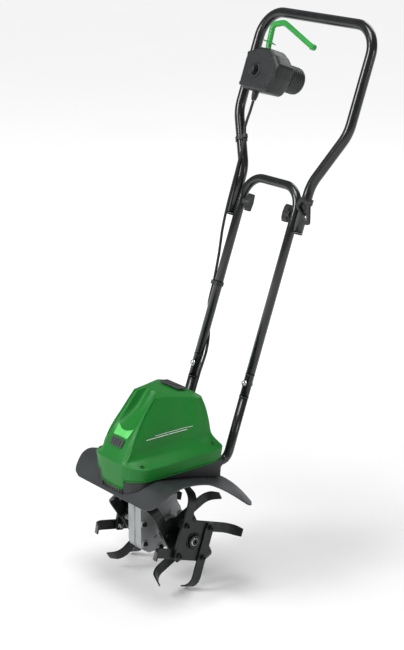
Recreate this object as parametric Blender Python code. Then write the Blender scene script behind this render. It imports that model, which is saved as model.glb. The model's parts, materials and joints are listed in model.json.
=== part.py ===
"""Electric garden tiller: four bladed rotors under a covered motor, with a folding loop handle.

Frame: +Z up, the machine travels along -Y, its right side is -X. Origin on the floor, bbox centre.
Lengths in metres. Body y and z are measured from BODY_Y and LIFT.
"""
import math

import bmesh
import bpy
from mathutils import Matrix, Vector

# ---- driving dimensions -------------------------------------------------------------------
BODY_Y = -0.1787          # world y of the body's own zero, so that the bounding box is centred
LIFT = 0.0338             # world z of the body's own zero, so that the lowest blade is at z = 0
AXLE_Y, AXLE_Z = 0.0290, 0.0800     # tine axle, in the body's own y and z
GAP = 0.0003              # air gap between pieces that touch

HANDLE_TILT = math.radians(70.07)   # slope of the handle plane from the horizontal
HANDLE_REF = (0.1781, 0.3521)       # y, z of the handle plane's s = 0
LOWER_X, LOWER_R, LOWER_WALL = 0.0845, 0.0095, 0.0015
UPPER_X, UPPER_R, UPPER_WALL = 0.1055, 0.0108, 0.0015
LOOP_X = 0.1700           # half width of the hand loop
LOOP_TOP_S = 0.7860       # top bar, along the handle
FLARE_LOW_S, FLARE_HIGH_S = 0.4520, 0.5680
LEG_END_S = 0.3530        # lower ends of the loop
PIVOT_S = 0.3850          # fold joint
ARCH_S = 0.4400           # top of the lower frame
SLEEVE_S = 0.0280         # bolt through the sleeve joint of the lower frame

SHAFT_R = 0.0090
SHAFT_HALF = 0.1125
CLIP_X = 0.0500           # retaining clips through the shaft
ROTORS = {"inner_left": (0.0680, 26.0, 1), "outer_left": (0.1040, -19.0, 1),
          "inner_right": (-0.0680, 33.0, -1), "outer_right": (-0.1000, -12.0, 1)}
# each rotor: plate x, turn in degrees, and the side its first blade curls to
PLATE_HALF, PLATE_T, BOLT_HALF = 0.0415, 0.0040, 0.0319
BLADE_W, BLADE_T, BLADE_REACH = 0.0210, 0.0040, 0.1050

WORM_Y = -0.0310          # motor shaft, from the axle
WORM_ROOT, WORM_TIP = 0.0055, 0.0080
WHEEL_TEETH, WHEEL_ROOT, WHEEL_TIP = 40, 0.0226, 0.0252
WORM_LEAD = 2.0 * math.pi * 0.0240 / WHEEL_TEETH

BOX_LEFT, BOX_RIGHT = -0.1570, -0.0470
BOX_LOW, BOX_HIGH = 0.6120, 0.7040
BOX_BACK, BOX_FRONT, BOX_SPLIT = -0.0140, 0.0340, 0.0080
LEVER_PIVOT = (-0.1080, 0.6850)     # x, s
BUTTON_AT = (-0.1150, 0.6540)       # x, s
INLET_AT = (-0.0770, 0.6550)        # x, s
CABLE_R = 0.0031


def clear_scene():
    """Empty the file."""
    for thing in list(bpy.data.objects):
        bpy.data.objects.remove(thing, do_unlink=True)
    for mesh in list(bpy.data.meshes):
        bpy.data.meshes.remove(mesh)


def at(x, y, z):
    """A point in the body's own y and z."""
    return Vector((x, BODY_Y + y, LIFT + z))


ALONG = Vector((0.0, math.cos(HANDLE_TILT), math.sin(HANDLE_TILT)))
OUT = Vector((0.0, -math.sin(HANDLE_TILT), math.cos(HANDLE_TILT)))
ACROSS = Vector((1.0, 0.0, 0.0))
AXLE = at(0.0, AXLE_Y, AXLE_Z)


def on_handle(x, s, o=0.0):
    """A point in the handle plane: x across, s up the handle, o out of it, forward."""
    return at(0.0, *HANDLE_REF) + ACROSS * x + ALONG * s + OUT * o


# ---- materials ------------------------------------------------------------------------------
MATERIALS = {
    "green_plastic": ((0.05, 0.30, 0.08, 1.0), 0.0, 0.35),
    "black_plastic": ((0.035, 0.04, 0.042, 1.0), 0.0, 0.5),
    "grey_plastic": ((0.10, 0.115, 0.12, 1.0), 0.0, 0.5),
    "black_paint": ((0.02, 0.022, 0.024, 1.0), 0.2, 0.35),
    "cast_metal": ((0.42, 0.45, 0.46, 1.0), 0.8, 0.5),
    "steel": ((0.60, 0.61, 0.62, 1.0), 1.0, 0.3),
    "copper": ((0.45, 0.26, 0.17, 1.0), 0.8, 0.45),
    "brass": ((0.70, 0.52, 0.25, 1.0), 1.0, 0.35),
    "rubber": ((0.02, 0.02, 0.022, 1.0), 0.0, 0.65),
    "lever_plastic": ((0.04, 0.36, 0.07, 1.0), 0.0, 0.35),
}


def material_for(node, look):
    """A Principled material of the node's own."""
    colour, metallic, roughness = MATERIALS[look]
    mat = bpy.data.materials.new(node + "_mat")
    mat.use_nodes = True
    shader = mat.node_tree.nodes["Principled BSDF"]
    shader.inputs["Base Color"].default_value = colour
    shader.inputs["Metallic"].default_value = metallic
    shader.inputs["Roughness"].default_value = roughness
    mat.diffuse_color = colour
    return mat


# ---- shape helpers --------------------------------------------------------------------------
def finish(name, verts, faces, look):
    """Make a named object from points and faces, with its normals facing out."""
    mesh = bpy.data.meshes.new(name)
    mesh.from_pydata([tuple(v) for v in verts], [], faces)
    work = bmesh.new()
    work.from_mesh(mesh)
    bmesh.ops.recalc_face_normals(work, faces=work.faces)
    work.to_mesh(mesh)
    work.free()
    obj = bpy.data.objects.new(name, mesh)
    bpy.context.scene.collection.objects.link(obj)
    if look:
        mesh.materials.append(material_for(name, look))
    return obj


def ring_faces(first, second, count):
    """Quads between two rings of the same size, given their start indices."""
    quads = []
    for i in range(count):
        j = (i + 1) % count
        quads.append((first + i, first + j, second + j, second + i))
    return quads


def stack(name, rings, look):
    """A closed solid through a list of rings of equal length, capped at both ends."""
    count = len(rings[0])
    verts = [v for ring in rings for v in ring]
    faces = []
    for k in range(len(rings) - 1):
        faces += ring_faces(k * count, (k + 1) * count, count)
    faces.append(tuple(reversed(range(count))))
    faces.append(tuple((len(rings) - 1) * count + i for i in range(count)))
    return finish(name, verts, faces, look)


def closed_stack(name, rings, look):
    """A solid with a hole through it: the last ring joins the first."""
    count = len(rings[0])
    verts = [v for ring in rings for v in ring]
    faces = []
    for k in range(len(rings)):
        faces += ring_faces(k * count, ((k + 1) % len(rings)) * count, count)
    return finish(name, verts, faces, look)


def across_pair(direction):
    """Two unit vectors square to a direction, chosen steadily."""
    d = direction.normalized()
    helper = Vector((1, 0, 0)) if abs(d.x) < 0.9 else Vector((0, 0, 1))
    u = (helper - d * helper.dot(d)).normalized()
    return u, d.cross(u)


def circle(centre, direction, radius, sides, turn=0.0):
    """Points of a circle square to a direction."""
    u, v = across_pair(direction)
    points = []
    for i in range(sides):
        a = turn + 2.0 * math.pi * i / sides
        points.append(centre + u * (radius * math.cos(a)) + v * (radius * math.sin(a)))
    return points


def turned(name, base, direction, profile, look, sides=24, bored=False):
    """A turned solid from (radius, distance) pairs; bored=True joins the last pair to the first."""
    d = direction.normalized()
    rings = [circle(base + d * t, d, r, sides) for r, t in profile]
    return closed_stack(name, rings, look) if bored else stack(name, rings, look)


def rounded_path(points, radii, steps=6):
    """Replace each inner corner of a polyline by an arc of the given radius."""
    path = [points[0].copy()]
    for i in range(1, len(points) - 1):
        here = points[i]
        back = (points[i - 1] - here).normalized()
        ahead = (points[i + 1] - here).normalized()
        half = back.angle(ahead) / 2.0
        radius = radii[i - 1]
        run = radius / math.tan(half)
        centre = here + (back + ahead).normalized() * (radius / math.sin(half))
        start = here + back * run - centre
        end = here + ahead * run - centre
        sweep_angle = start.angle(end)
        for k in range(steps + 1):
            f = k / steps
            share = math.sin((1 - f) * sweep_angle) / math.sin(sweep_angle)
            other = math.sin(f * sweep_angle) / math.sin(sweep_angle)
            path.append(centre + start * share + end * other)
    path.append(points[-1].copy())
    return path


def path_rings(path, radii, sides):
    """Circles along a path, with a frame carried along it so that it never twists."""
    rings = []
    u = across_pair(path[1] - path[0])[0]
    for i, point in enumerate(path):
        ahead = path[min(i + 1, len(path) - 1)] - point
        behind = point - path[max(i - 1, 0)]
        d = (ahead.normalized() + behind.normalized()).normalized()
        u = (u - d * u.dot(d)).normalized()
        v = d.cross(u)
        ring = []
        for k in range(sides):
            a = 2.0 * math.pi * k / sides
            ring.append(point + (u * math.cos(a) + v * math.sin(a)) * radii[i])
        rings.append(ring)
    return rings


def tube(name, path, radius, wall, look, sides=12):
    """A bent tube with an open bore."""
    radii = radius if isinstance(radius, list) else [radius] * len(path)
    outer = path_rings(path, radii, sides)
    inner = path_rings(path, [r - wall for r in radii], sides)
    return closed_stack(name, outer + inner[::-1], look)


def rod(name, path, radius, look, sides=12):
    """A bent solid rod."""
    radii = radius if isinstance(radius, list) else [radius] * len(path)
    return stack(name, path_rings(path, radii, sides), look)


def prism(name, outline, place, low, high, look):
    """Extrude a 2-D outline; place(a, b, c) turns outline coordinates and depth into a point."""
    rings = [[place(a, b, low) for a, b in outline], [place(a, b, high) for a, b in outline]]
    return stack(name, rings, look)


def corner_outline(points, radius, steps=4):
    """Round every corner of a closed 2-D outline."""
    flat = []
    count = len(points)
    for i in range(count):
        here = Vector(points[i]).to_3d()
        before = Vector(points[i - 1]).to_3d()
        after = Vector(points[(i + 1) % count]).to_3d()
        size = radius[i] if isinstance(radius, (list, tuple)) else radius
        arc = rounded_path([before, here, after], [size], steps)[1:-1]
        flat += [(p.x, p.y) for p in arc]
    return flat


def cutter(obj):
    """Hide a solid that only cuts or joins another."""
    obj.hide_render = True
    obj.display_type = "WIRE"
    return obj


def combine(obj, other, kind):
    """Cut or join with another solid, which is then hidden."""
    mod = obj.modifiers.new(other.name, "BOOLEAN")
    mod.operation = kind
    mod.solver = "EXACT"
    mod.object = cutter(other)
    return obj


def bore(obj, start, end, radius, sides=16):
    """Cut a round hole from start to end."""
    name = "cut_%s_%d" % (obj.name, len(obj.modifiers))
    tool = stack(name, [circle(start, end - start, radius, sides),
                        circle(end, end - start, radius, sides)], None)
    return combine(obj, tool, "DIFFERENCE")


def smooth_half(points, per_span):
    """A smooth curve through points, with per_span pieces between neighbours."""
    curve = []
    for i in range(len(points) - 1):
        p0 = points[max(i - 1, 0)]
        p1, p2 = points[i], points[i + 1]
        p3 = points[min(i + 2, len(points) - 1)]
        for k in range(per_span):
            t = k / per_span
            curve.append(0.5 * ((2 * p1) + (p2 - p0) * t + (2 * p0 - 5 * p1 + 4 * p2 - p3) * t * t
                                + (3 * p1 - p0 - 3 * p2 + p3) * t ** 3))
    curve.append(points[-1])
    return curve


def mirrored_ring(half, per_span=3):
    """A closed ring from one side's points, front centre to rear centre, mirrored in X."""
    side = smooth_half([at(*p) for p in half], per_span)
    other = [Vector((-p.x, p.y, p.z)) for p in side[1:-1]]
    return side + other[::-1]


def shrunk(ring, amount, drop):
    """Move a ring inwards in plan and down, for the inside of a shell."""
    count = len(ring)
    moved = []
    for i, point in enumerate(ring):
        run = ring[(i + 1) % count] - ring[i - 1]
        inward = Vector((-run.y, run.x, 0.0))
        if inward.length < 1e-9:
            inward = Vector((0.0, 1.0, 0.0))
        moved.append(point + inward.normalized() * amount - Vector((0, 0, drop)))
    return moved


# ---- mudguard surface, shared by everything that sits on it ----------------------------------
GUARD_HEIGHT = [(-0.1015, 0.1860), (-0.090, 0.1965), (-0.080, 0.2060), (-0.065, 0.2180),
                (-0.050, 0.2235), (-0.025, 0.2215), (0.0, 0.2180), (0.030, 0.2145),
                (0.047, 0.2120), (0.080, 0.2050), (0.112, 0.1980)]
GUARD_WIDTH = [(-0.1015, 0.1120), (-0.097, 0.1280), (-0.090, 0.1370), (-0.080, 0.1430),
               (-0.065, 0.1480), (-0.046, 0.1480), (-0.025, 0.1390), (-0.003, 0.1330),
               (0.030, 0.1320), (0.047, 0.1360), (0.060, 0.1500), (0.075, 0.1720),
               (0.090, 0.1900), (0.100, 0.1970), (0.107, 0.1970), (0.112, 0.1900)]


def along(table, y):
    """Read a table of (y, value) with straight lines between its rows."""
    for (y0, v0), (y1, v1) in zip(table, table[1:]):
        if y <= y1:
            return v0 + (v1 - v0) * max(y - y0, 0.0) / (y1 - y0)
    return table[-1][1]


def guard_z(x, y):
    """Height of the mudguard's top face."""
    droop = 3.0 * max(0.0, min(y, 0.1) / 0.1) * max(0.0, abs(x) - 0.100) ** 2
    return along(GUARD_HEIGHT, y) - droop


# ---- body ------------------------------------------------------------------------------------
SKIRT_LOW = [(0, -0.0965, 0.2020), (0.020, -0.0963, 0.2020), (0.0350, -0.0945, 0.2022),
             (0.0385, -0.0940, 0.2200), (0.058, -0.0880, 0.2235), (0.078, -0.0720, 0.2260),
             (0.0850, -0.040, 0.2275), (0.095, 0.030, 0.2325), (0.1030, 0.093, 0.2395),
             (0.0990, 0.1060, 0.2410), (0.060, 0.1080, 0.2415), (0, 0.1085, 0.2415)]
CREST = [(0, -0.0985, 0.2560), (0.020, -0.0985, 0.2560), (0.0350, -0.0980, 0.2565),
         (0.0400, -0.0975, 0.2565), (0.060, -0.0905, 0.2540), (0.0800, -0.0730, 0.2520),
         (0.0870, -0.040, 0.2530), (0.0970, 0.030, 0.2595), (0.1060, 0.095, 0.2655),
         (0.1030, 0.1075, 0.2665), (0.062, 0.1095, 0.2670), (0, 0.1100, 0.2670)]
SHELF = [(0, -0.0960, 0.2610), (0.020, -0.0960, 0.2610), (0.0350, -0.0950, 0.2615),
         (0.0440, -0.0915, 0.2620), (0.0510, -0.080, 0.2640), (0.0560, -0.060, 0.2680),
         (0.0610, -0.035, 0.2720), (0.0750, 0.030, 0.2830), (0.0885, 0.082, 0.2900),
         (0.0850, 0.0940, 0.2910), (0.050, 0.0955, 0.2910), (0, 0.0960, 0.2910)]
WAIST = [(0, -0.0715, 0.3025), (0.020, -0.0720, 0.3025), (0.0340, -0.0725, 0.3025),
         (0.0420, -0.0690, 0.3035), (0.0465, -0.058, 0.3050), (0.0510, -0.042, 0.3065),
         (0.0565, -0.018, 0.3095), (0.0700, 0.036, 0.3160), (0.0825, 0.079, 0.3205),
         (0.0790, 0.0910, 0.3210), (0.047, 0.0930, 0.3215), (0, 0.0935, 0.3220)]
SCOOP = [(0, -0.0235, 0.3450), (0.0150, -0.0240, 0.3450), (0.0260, -0.0395, 0.3450),
         (0.0350, -0.0400, 0.3450), (0.0400, -0.0310, 0.3455), (0.0445, -0.0170, 0.3460),
         (0.0510, 0.0010, 0.3465), (0.0625, 0.042, 0.3475), (0.0750, 0.076, 0.3485),
         (0.0715, 0.0880, 0.3490), (0.043, 0.0900, 0.3495), (0, 0.0905, 0.3500)]
BROW = [(0, 0.0010, 0.3755), (0.0160, 0.0040, 0.3765), (0.0250, -0.0125, 0.3780),
        (0.0330, -0.0120, 0.3785), (0.0370, -0.0040, 0.3785), (0.0410, 0.0080, 0.3780),
        (0.0470, 0.0220, 0.3765), (0.0580, 0.0490, 0.3735), (0.0680, 0.0730, 0.3690),
        (0.0640, 0.0840, 0.3680), (0.038, 0.0865, 0.3695), (0, 0.0870, 0.3700)]
LID = [(0, 0.0060, 0.3825), (0.0135, 0.0090, 0.3825), (0.0215, 0.0030, 0.3830),
       (0.0260, 0.0050, 0.3830), (0.0300, 0.0120, 0.3828), (0.0335, 0.0200, 0.3825),
       (0.0380, 0.0300, 0.3820), (0.0490, 0.0510, 0.3795), (0.0570, 0.0680, 0.3760),
       (0.0530, 0.0760, 0.3745), (0.032, 0.0785, 0.3755), (0, 0.0790, 0.3760)]


def build_cover():
    """The moulded motor cover: an open-bottomed shell."""
    outer = [mirrored_ring(r) for r in (SKIRT_LOW, CREST, SHELF, WAIST, SCOOP, BROW, LID)]
    wall = 0.0026
    drops = (0.0, 0.0012, 0.0026, 0.0026, 0.0026, 0.0026, 0.0026)
    inner = [shrunk(r, wall, d) for r, d in zip(outer, drops)]
    count = len(outer[0])
    rings = outer[::-1] + inner
    verts = [v for ring in rings for v in ring]
    faces = []
    for k in range(len(rings) - 1):
        faces += ring_faces(k * count, (k + 1) * count, count)
    for start, height in ((0, 0.0006), ((len(rings) - 1) * count, 0.0006)):
        ring = verts[start:start + count]
        middle = sum(ring, Vector()) / count + Vector((0, 0, height))
        verts.append(middle)
        centre = len(verts) - 1
        for i in range(count):
            faces.append((start + i, start + (i + 1) % count, centre))
    cover = finish("motor_cover", verts, faces, "green_plastic")
    return cover


def build_base():
    """The black lower housing: a wall that stands on the mudguard under the cover."""
    under = [(x, y, z - 0.0008) for x, y, z in SKIRT_LOW]
    under[3] = (0.0405, -0.0938, 0.2192)
    top = mirrored_ring(under)
    low = []
    for point in mirrored_ring([(x * 0.985, y * 0.985 - 0.0005, 0.0) for x, y, z in SKIRT_LOW]):
        low.append(Vector((point.x, point.y, LIFT + guard_z(point.x, point.y - BODY_Y)
                           + 0.0018)))
    inner_top = shrunk(top, 0.0026, 0.0)
    inner_low = shrunk(low, 0.0028, -0.0012)
    base = closed_stack("base_housing", [top, low, inner_low, inner_top], "black_plastic")
    for side in (-1, 1):
        centre = at(side * LOWER_X, 0.105, TUBE_ENTRY_Z)
        bore(base, centre + Vector((0, -0.02, 0)), centre + Vector((0, 0.02, 0)), LOWER_R + 0.0008)
    entry = at(CABLE_ENTRY[0], 0.105, CABLE_ENTRY[1])
    bore(base, entry + Vector((0, -0.02, 0)), entry + Vector((0, 0.02, 0)), CABLE_R + 0.0006, 12)
    return base


def build_guard():
    """The mudguard: a bent sheet with drooping rear wings and an opening for the gearbox."""
    ys = [-0.1015, -0.0995, -0.097, -0.090, -0.080, -0.065, -0.050, -0.022,
          0.0, 0.020, 0.040, 0.060, 0.078, 0.092, 0.104, 0.109, 0.112]
    across = 20
    thick = 0.0026
    top, low = [], []
    for y in ys:
        half = along(GUARD_WIDTH, y)
        for i in range(across + 1):
            x = half * (2.0 * i / across - 1.0)
            top.append(at(x, y, guard_z(x, y)))
            low.append(at(x, y, guard_z(x, y) - thick))
    wide = across + 1
    verts = top + low
    size = len(top)
    faces = []
    for r in range(len(ys) - 1):
        for c in range(across):
            a = r * wide + c
            faces.append((a, a + 1, a + wide + 1, a + wide))
            faces.append((size + a, size + a + wide, size + a + wide + 1, size + a + 1))
    rim = [c for c in range(wide)]
    rim += [r * wide + across for r in range(1, len(ys))]
    rim += [(len(ys) - 1) * wide + c for c in range(across - 1, -1, -1)]
    rim += [r * wide for r in range(len(ys) - 2, 0, -1)]
    for a, b in zip(rim, rim[1:] + rim[:1]):
        faces.append((a, b, size + b, size + a))
    guard = finish("mudguard", verts, faces, "grey_plastic")
    opening = corner_outline([(-0.0245, -0.0430), (0.0245, -0.0430), (0.0245, 0.0540),
                              (-0.0245, 0.0540)], 0.006, 3)
    hole = prism("cut_guard", opening, at, 0.19, 0.25, None)
    return combine(guard, hole, "DIFFERENCE")


def grille(name, centre, u, v, size_u, size_v, bars, thick):
    """A small slotted vent panel; u and v are its two directions."""
    out = u.cross(v)

    def place(a, b, c):
        return centre + u * a + v * b + out * c

    outline = corner_outline([(-size_u, -size_v), (size_u, -size_v), (size_u, size_v),
                              (-size_u, size_v)], size_v * 0.35, 3)
    panel = prism(name, outline, place, 0.0, thick, "black_plastic")
    pitch = 2.0 * size_u / (bars + 1)
    for k in range(bars):
        a = -size_u + pitch * (k + 1)
        slot = [(a - pitch * 0.28, -size_v * 0.7), (a + pitch * 0.28, -size_v * 0.7),
                (a + pitch * 0.28, size_v * 0.7), (a - pitch * 0.28, size_v * 0.7)]
        tool = prism("cut_%s_%d" % (name, k), slot, place, thick * 0.45, thick + 0.002, None)
        combine(panel, tool, "DIFFERENCE")
    return panel


def build_vents():
    """The vent panels on the cover's top and front."""
    top = grille("top_vent_grille", at(0, 0.0600, 0.3812), Vector((1, 0, 0)),
                 Vector((0, 0.995, -0.095)).normalized(), 0.0330, 0.0110, 6, 0.0020)
    slope = Vector((0, 0.508, 0.861)).normalized()
    front = grille("front_vent_grille", at(0, -0.0809, 0.2904), Vector((1, 0, 0)), slope,
                   0.0200, 0.0085, 4, 0.0020)
    return top, front


# ---- gearbox and motor -------------------------------------------------------------------------
def yz(x_sign):
    """A placer for outlines drawn in y, z about the axle and extruded along x."""
    def place(a, b, c):
        return AXLE + Vector((x_sign * c, a, b))
    return place


def gearbox_outline():
    """Side view of the casting: round below the axle, straight up to the motor."""
    points = []
    for k in range(10):
        a = math.radians(-100 + 110 * k / 9)
        points.append((0.0420 * math.cos(a), 0.0420 * math.sin(a)))
    points += [(0.0330, 0.0400), (0.0240, 0.0560), (0.0240, 0.1620), (-0.0690, 0.1620),
               (-0.0700, -0.0180), (-0.0670, -0.0300), (-0.0500, -0.0420)]
    return points


def gearbox_half(name, side):
    """One half of the gearbox casting, hollow for the worm wheel and worm."""
    place = yz(side)
    half = prism(name, gearbox_outline(), place, 0.00015, 0.0215, "cast_metal")
    boss = stack("join_" + name, [circle(AXLE + ACROSS * side * x, ACROSS, r, 28)
                                  for x, r in ((0.0180, 0.0300), (0.0440, 0.0285), (0.0455, 0.0270))],
                 None)
    combine(half, boss, "UNION")
    wheel_room = [(0.0275 * math.cos(math.radians(a)), 0.0275 * math.sin(math.radians(a)))
                  for a in range(0, 360, 15)]
    tool = prism("room_wheel_" + name, wheel_room, place, -0.01, 0.0080, None)
    combine(half, tool, "DIFFERENCE")
    worm_room = corner_outline([(WORM_Y - 0.0100, -0.0240), (WORM_Y + 0.0100, -0.0240),
                                (WORM_Y + 0.0100, 0.1700), (WORM_Y - 0.0100, 0.1700)], 0.002, 2)
    tool = prism("room_worm_" + name, worm_room, place, -0.01, 0.0100, None)
    combine(half, tool, "DIFFERENCE")
    start = AXLE + ACROSS * side * 0.005
    bore(half, start, AXLE + ACROSS * side * 0.06, SHAFT_R + 0.0008, 24)
    seat = AXLE + ACROSS * side * 0.0330
    bore(half, seat, AXLE + ACROSS * side * 0.06, 0.0163, 28)
    return half


def build_gearbox():
    """The two casting halves and the axle's bearings."""
    for side, word in ((1, "left"), (-1, "right")):
        gearbox_half("gearbox_half_" + word, side)
        turned("axle_bearing_" + word, AXLE + ACROSS * side * 0.0334, ACROSS * side,
               [(SHAFT_R + 0.0004, 0.0), (0.0152, 0.0), (0.0158, 0.0006), (0.0158, 0.0100),
                (0.0152, 0.0106), (SHAFT_R + 0.0004, 0.0106)], "steel", 28, True)


def build_shaft_drive():
    """The tine shaft and its worm wheel."""
    shaft = turned("tine_shaft", AXLE - ACROSS * SHAFT_HALF, ACROSS,
           [(SHAFT_R - 0.0015, 0.0), (SHAFT_R, 0.0015), (SHAFT_R, 2 * SHAFT_HALF - 0.0015),
            (SHAFT_R - 0.0015, 2 * SHAFT_HALF)], "steel", 24)
    for x in (-CLIP_X, CLIP_X):
        bore(shaft, at(x, AXLE_Y, AXLE_Z - 0.02), at(x, AXLE_Y, AXLE_Z + 0.02), 0.0014, 12)
    outline = []
    pitch = 2.0 * math.pi / WHEEL_TEETH
    for k in range(WHEEL_TEETH):
        mid = pitch * k
        for f, r in ((-0.24, WHEEL_ROOT), (-0.13, WHEEL_TIP), (0.13, WHEEL_TIP), (0.24, WHEEL_ROOT)):
            a = mid + pitch * f
            outline.append((r * math.cos(a), r * math.sin(a)))
    bore_ring = []
    for a, b in outline:
        angle = math.atan2(b, a)
        bore_ring.append(((SHAFT_R + 0.0003) * math.cos(angle), (SHAFT_R + 0.0003) * math.sin(angle)))
    place = yz(1)
    rings = [[place(a, b, -0.0040) for a, b in outline], [place(a, b, 0.0040) for a, b in outline],
             [place(a, b, 0.0040) for a, b in bore_ring], [place(a, b, -0.0040) for a, b in bore_ring]]
    closed_stack("worm_wheel", rings, "brass")


def build_worm():
    """The motor shaft with its worm, centred on the wheel's height."""
    base = AXLE + Vector((0, WORM_Y, 0))
    sides = 16
    low, high = -0.0135, 0.0135
    levels = 60
    verts = []
    for k in range(levels + 1):
        z = low + (high - low) * k / levels
        for i in range(sides):
            a = 2.0 * math.pi * i / sides
            phase = (z / WORM_LEAD - a / (2.0 * math.pi) + 0.25) % 1.0 - 0.5
            height = max(0.0, min(1.0, (0.215 - abs(phase)) / 0.09))
            taper = min(1.0, 12.0 * min(k, levels - k) / levels)
            r = WORM_ROOT + (WORM_TIP - WORM_ROOT) * height * taper
            verts.append(base + Vector((r * math.cos(a), r * math.sin(a), z)))
    rings = [verts[i * sides:(i + 1) * sides] for i in range(levels + 1)]

    def level(z, r):
        return [base + Vector((r * math.cos(2 * math.pi * i / sides),
                               r * math.sin(2 * math.pi * i / sides), z)) for i in range(sides)]

    below = [level(-0.0215, 0.0036), level(-0.0205, 0.0045)]
    above = [level(0.0150, 0.0048), level(0.2510, 0.0048), level(0.2520, 0.0040)]
    return stack("motor_shaft", below + rings + above, "steel")


def build_motor():
    """Stator, armature, bearings and the plate that carries them."""
    axis = at(0, AXLE_Y + WORM_Y, 0.0)
    up = Vector((0, 0, 1))
    turned("motor_stator", axis + up * 0.2600, up,
           [(0.0285, 0.0), (0.0405, 0.0), (0.0415, 0.0015), (0.0415, 0.0435), (0.0405, 0.0450),
            (0.0285, 0.0450), (0.0270, 0.0430), (0.0270, 0.0020)], "steel", 32, True)
    turned("armature", axis + up * 0.2490, up,
           [(0.0051, 0.0), (0.0300, 0.0), (0.0330, 0.0020), (0.0330, 0.0060), (0.0110, 0.0075),
            (0.0110, 0.0110), (0.0200, 0.0120), (0.0262, 0.0150), (0.0262, 0.0520),
            (0.0180, 0.0560), (0.0120, 0.0580), (0.0120, 0.0680), (0.0051, 0.0690)],
           "copper", 28, True)
    turned("motor_bearing_upper", axis + up * 0.3210, up,
           [(0.0051, 0.0), (0.0105, 0.0), (0.0105, 0.0075), (0.0051, 0.0075)], "steel", 24, True)
    plate = prism("motor_plate", corner_outline([(-0.0480, -0.0600), (0.0480, -0.0600),
                                                 (0.0560, 0.0780), (-0.0560, 0.0780)], 0.012, 3),
                  at, 0.2425, 0.2465, "steel")
    bore(plate, axis + up * 0.23, axis + up * 0.26, 0.0120, 24)


# ---- rotors ------------------------------------------------------------------------------------
def build_plate(name, x, turn):
    """A square rotor plate with a hub that runs along the shaft towards the gearbox."""
    side = 1 if x > 0 else -1
    ca, sa = math.cos(turn), math.sin(turn)

    def place(a, b, c):
        return AXLE + Vector((x + side * c, a * ca - b * sa, a * sa + b * ca))

    outline = corner_outline([(-PLATE_HALF, -PLATE_HALF), (PLATE_HALF, -PLATE_HALF),
                              (PLATE_HALF, PLATE_HALF), (-PLATE_HALF, PLATE_HALF)], 0.009, 3)
    plate = prism(name, outline, place, -PLATE_T / 2, PLATE_T / 2, "black_paint")
    long_hub = 0.0130 if abs(x) < 0.09 else abs(x) - 0.0760 - GAP
    inward = AXLE + ACROSS * (x - side * long_hub)
    outward = AXLE + ACROSS * (x + side * 0.0080)
    hub = stack("join_" + name, [circle(inward, ACROSS, 0.0140, 20),
                                 circle(outward, ACROSS, 0.0140, 20)], None)
    combine(plate, hub, "UNION")
    bore(plate, inward - ACROSS * side * 0.01, outward + ACROSS * side * 0.01, SHAFT_R + GAP, 24)
    return plate


def build_blade(name, x, turn, quarter, side):
    """One flat blade along a side of the plate, its tip curled sideways."""
    on_outer_face = quarter % 2 == 1
    face = 1 if on_outer_face else -1
    lift = PLATE_T / 2 + GAP + BLADE_T / 2
    angle = turn - quarter * math.pi / 2.0
    ca, sa = math.cos(angle), math.sin(angle)
    straight_end = BLADE_REACH - 0.0310
    radius = 0.0280
    bend = math.radians(68.0)
    stations = [(-BOLT_HALF - 0.0100, 0.0, 0.0), (-BOLT_HALF, 0.0, 0.0), (BOLT_HALF, 0.0, 0.0),
                (straight_end, 0.0, 0.0)]
    for k in range(1, 7):
        b = bend * k / 6
        stations.append((straight_end + radius * math.sin(b), radius * (1 - math.cos(b)), b))
    last = stations[-1]
    extra = (BLADE_REACH - last[0]) / math.cos(bend)
    stations.append((BLADE_REACH, last[1] + extra * math.sin(bend), bend))
    widths = [0.72, 1.0, 1.0, 1.0, 1.0, 1.0, 1.0, 1.0, 1.0, 0.97, 0.80]
    rings = []
    for (t, curl, b), share in zip(stations, widths):
        half_w = BLADE_W / 2 * share
        thick = BLADE_T / 2 * (1.0 if b < bend else 0.8)
        ring = []
        for w, h in ((-1, -1), (1, -1), (1, 1), (-1, 1)):
            dt = -math.sin(b) * h * thick
            dx = math.cos(b) * h * thick
            across = BOLT_HALF + w * half_w
            offset = face * lift - face * (curl + dx)
            ring.append(AXLE + Vector((x + side * offset, (t + dt) * ca - across * sa,
                                       (t + dt) * sa + across * ca)))
        rings.append(ring)
    return stack(name, rings, "black_paint")


def build_rotors():
    """Four rotors: inner and outer on each side, four blades on each."""
    for label, (x, degrees, way) in ROTORS.items():
        turn = math.radians(degrees)
        build_plate("rotor_plate_" + label, x, turn)
        for quarter in range(4):
            build_blade("blade_%s_%d" % (label, quarter + 1), x, turn, quarter, way)
    for side, word in ((1, "left"), (-1, "right")):
        hole = at(side * CLIP_X, AXLE_Y, AXLE_Z)
        path = [hole + Vector((0, y, z)) for y, z in
                ((0, 0.0150), (0, -0.0330), (-0.0125, -0.0330), (-0.0115, -0.0060), (-0.0150, 0.0080))]
        rod("retaining_clip_" + word, rounded_path(path, [0.0055, 0.0055, 0.003], 4), 0.0011, "steel", 8)


# ---- frame -------------------------------------------------------------------------------------
TUBE_ENTRY_Z = 0.2270
CABLE_ENTRY = (-0.0640, 0.2290)


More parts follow.
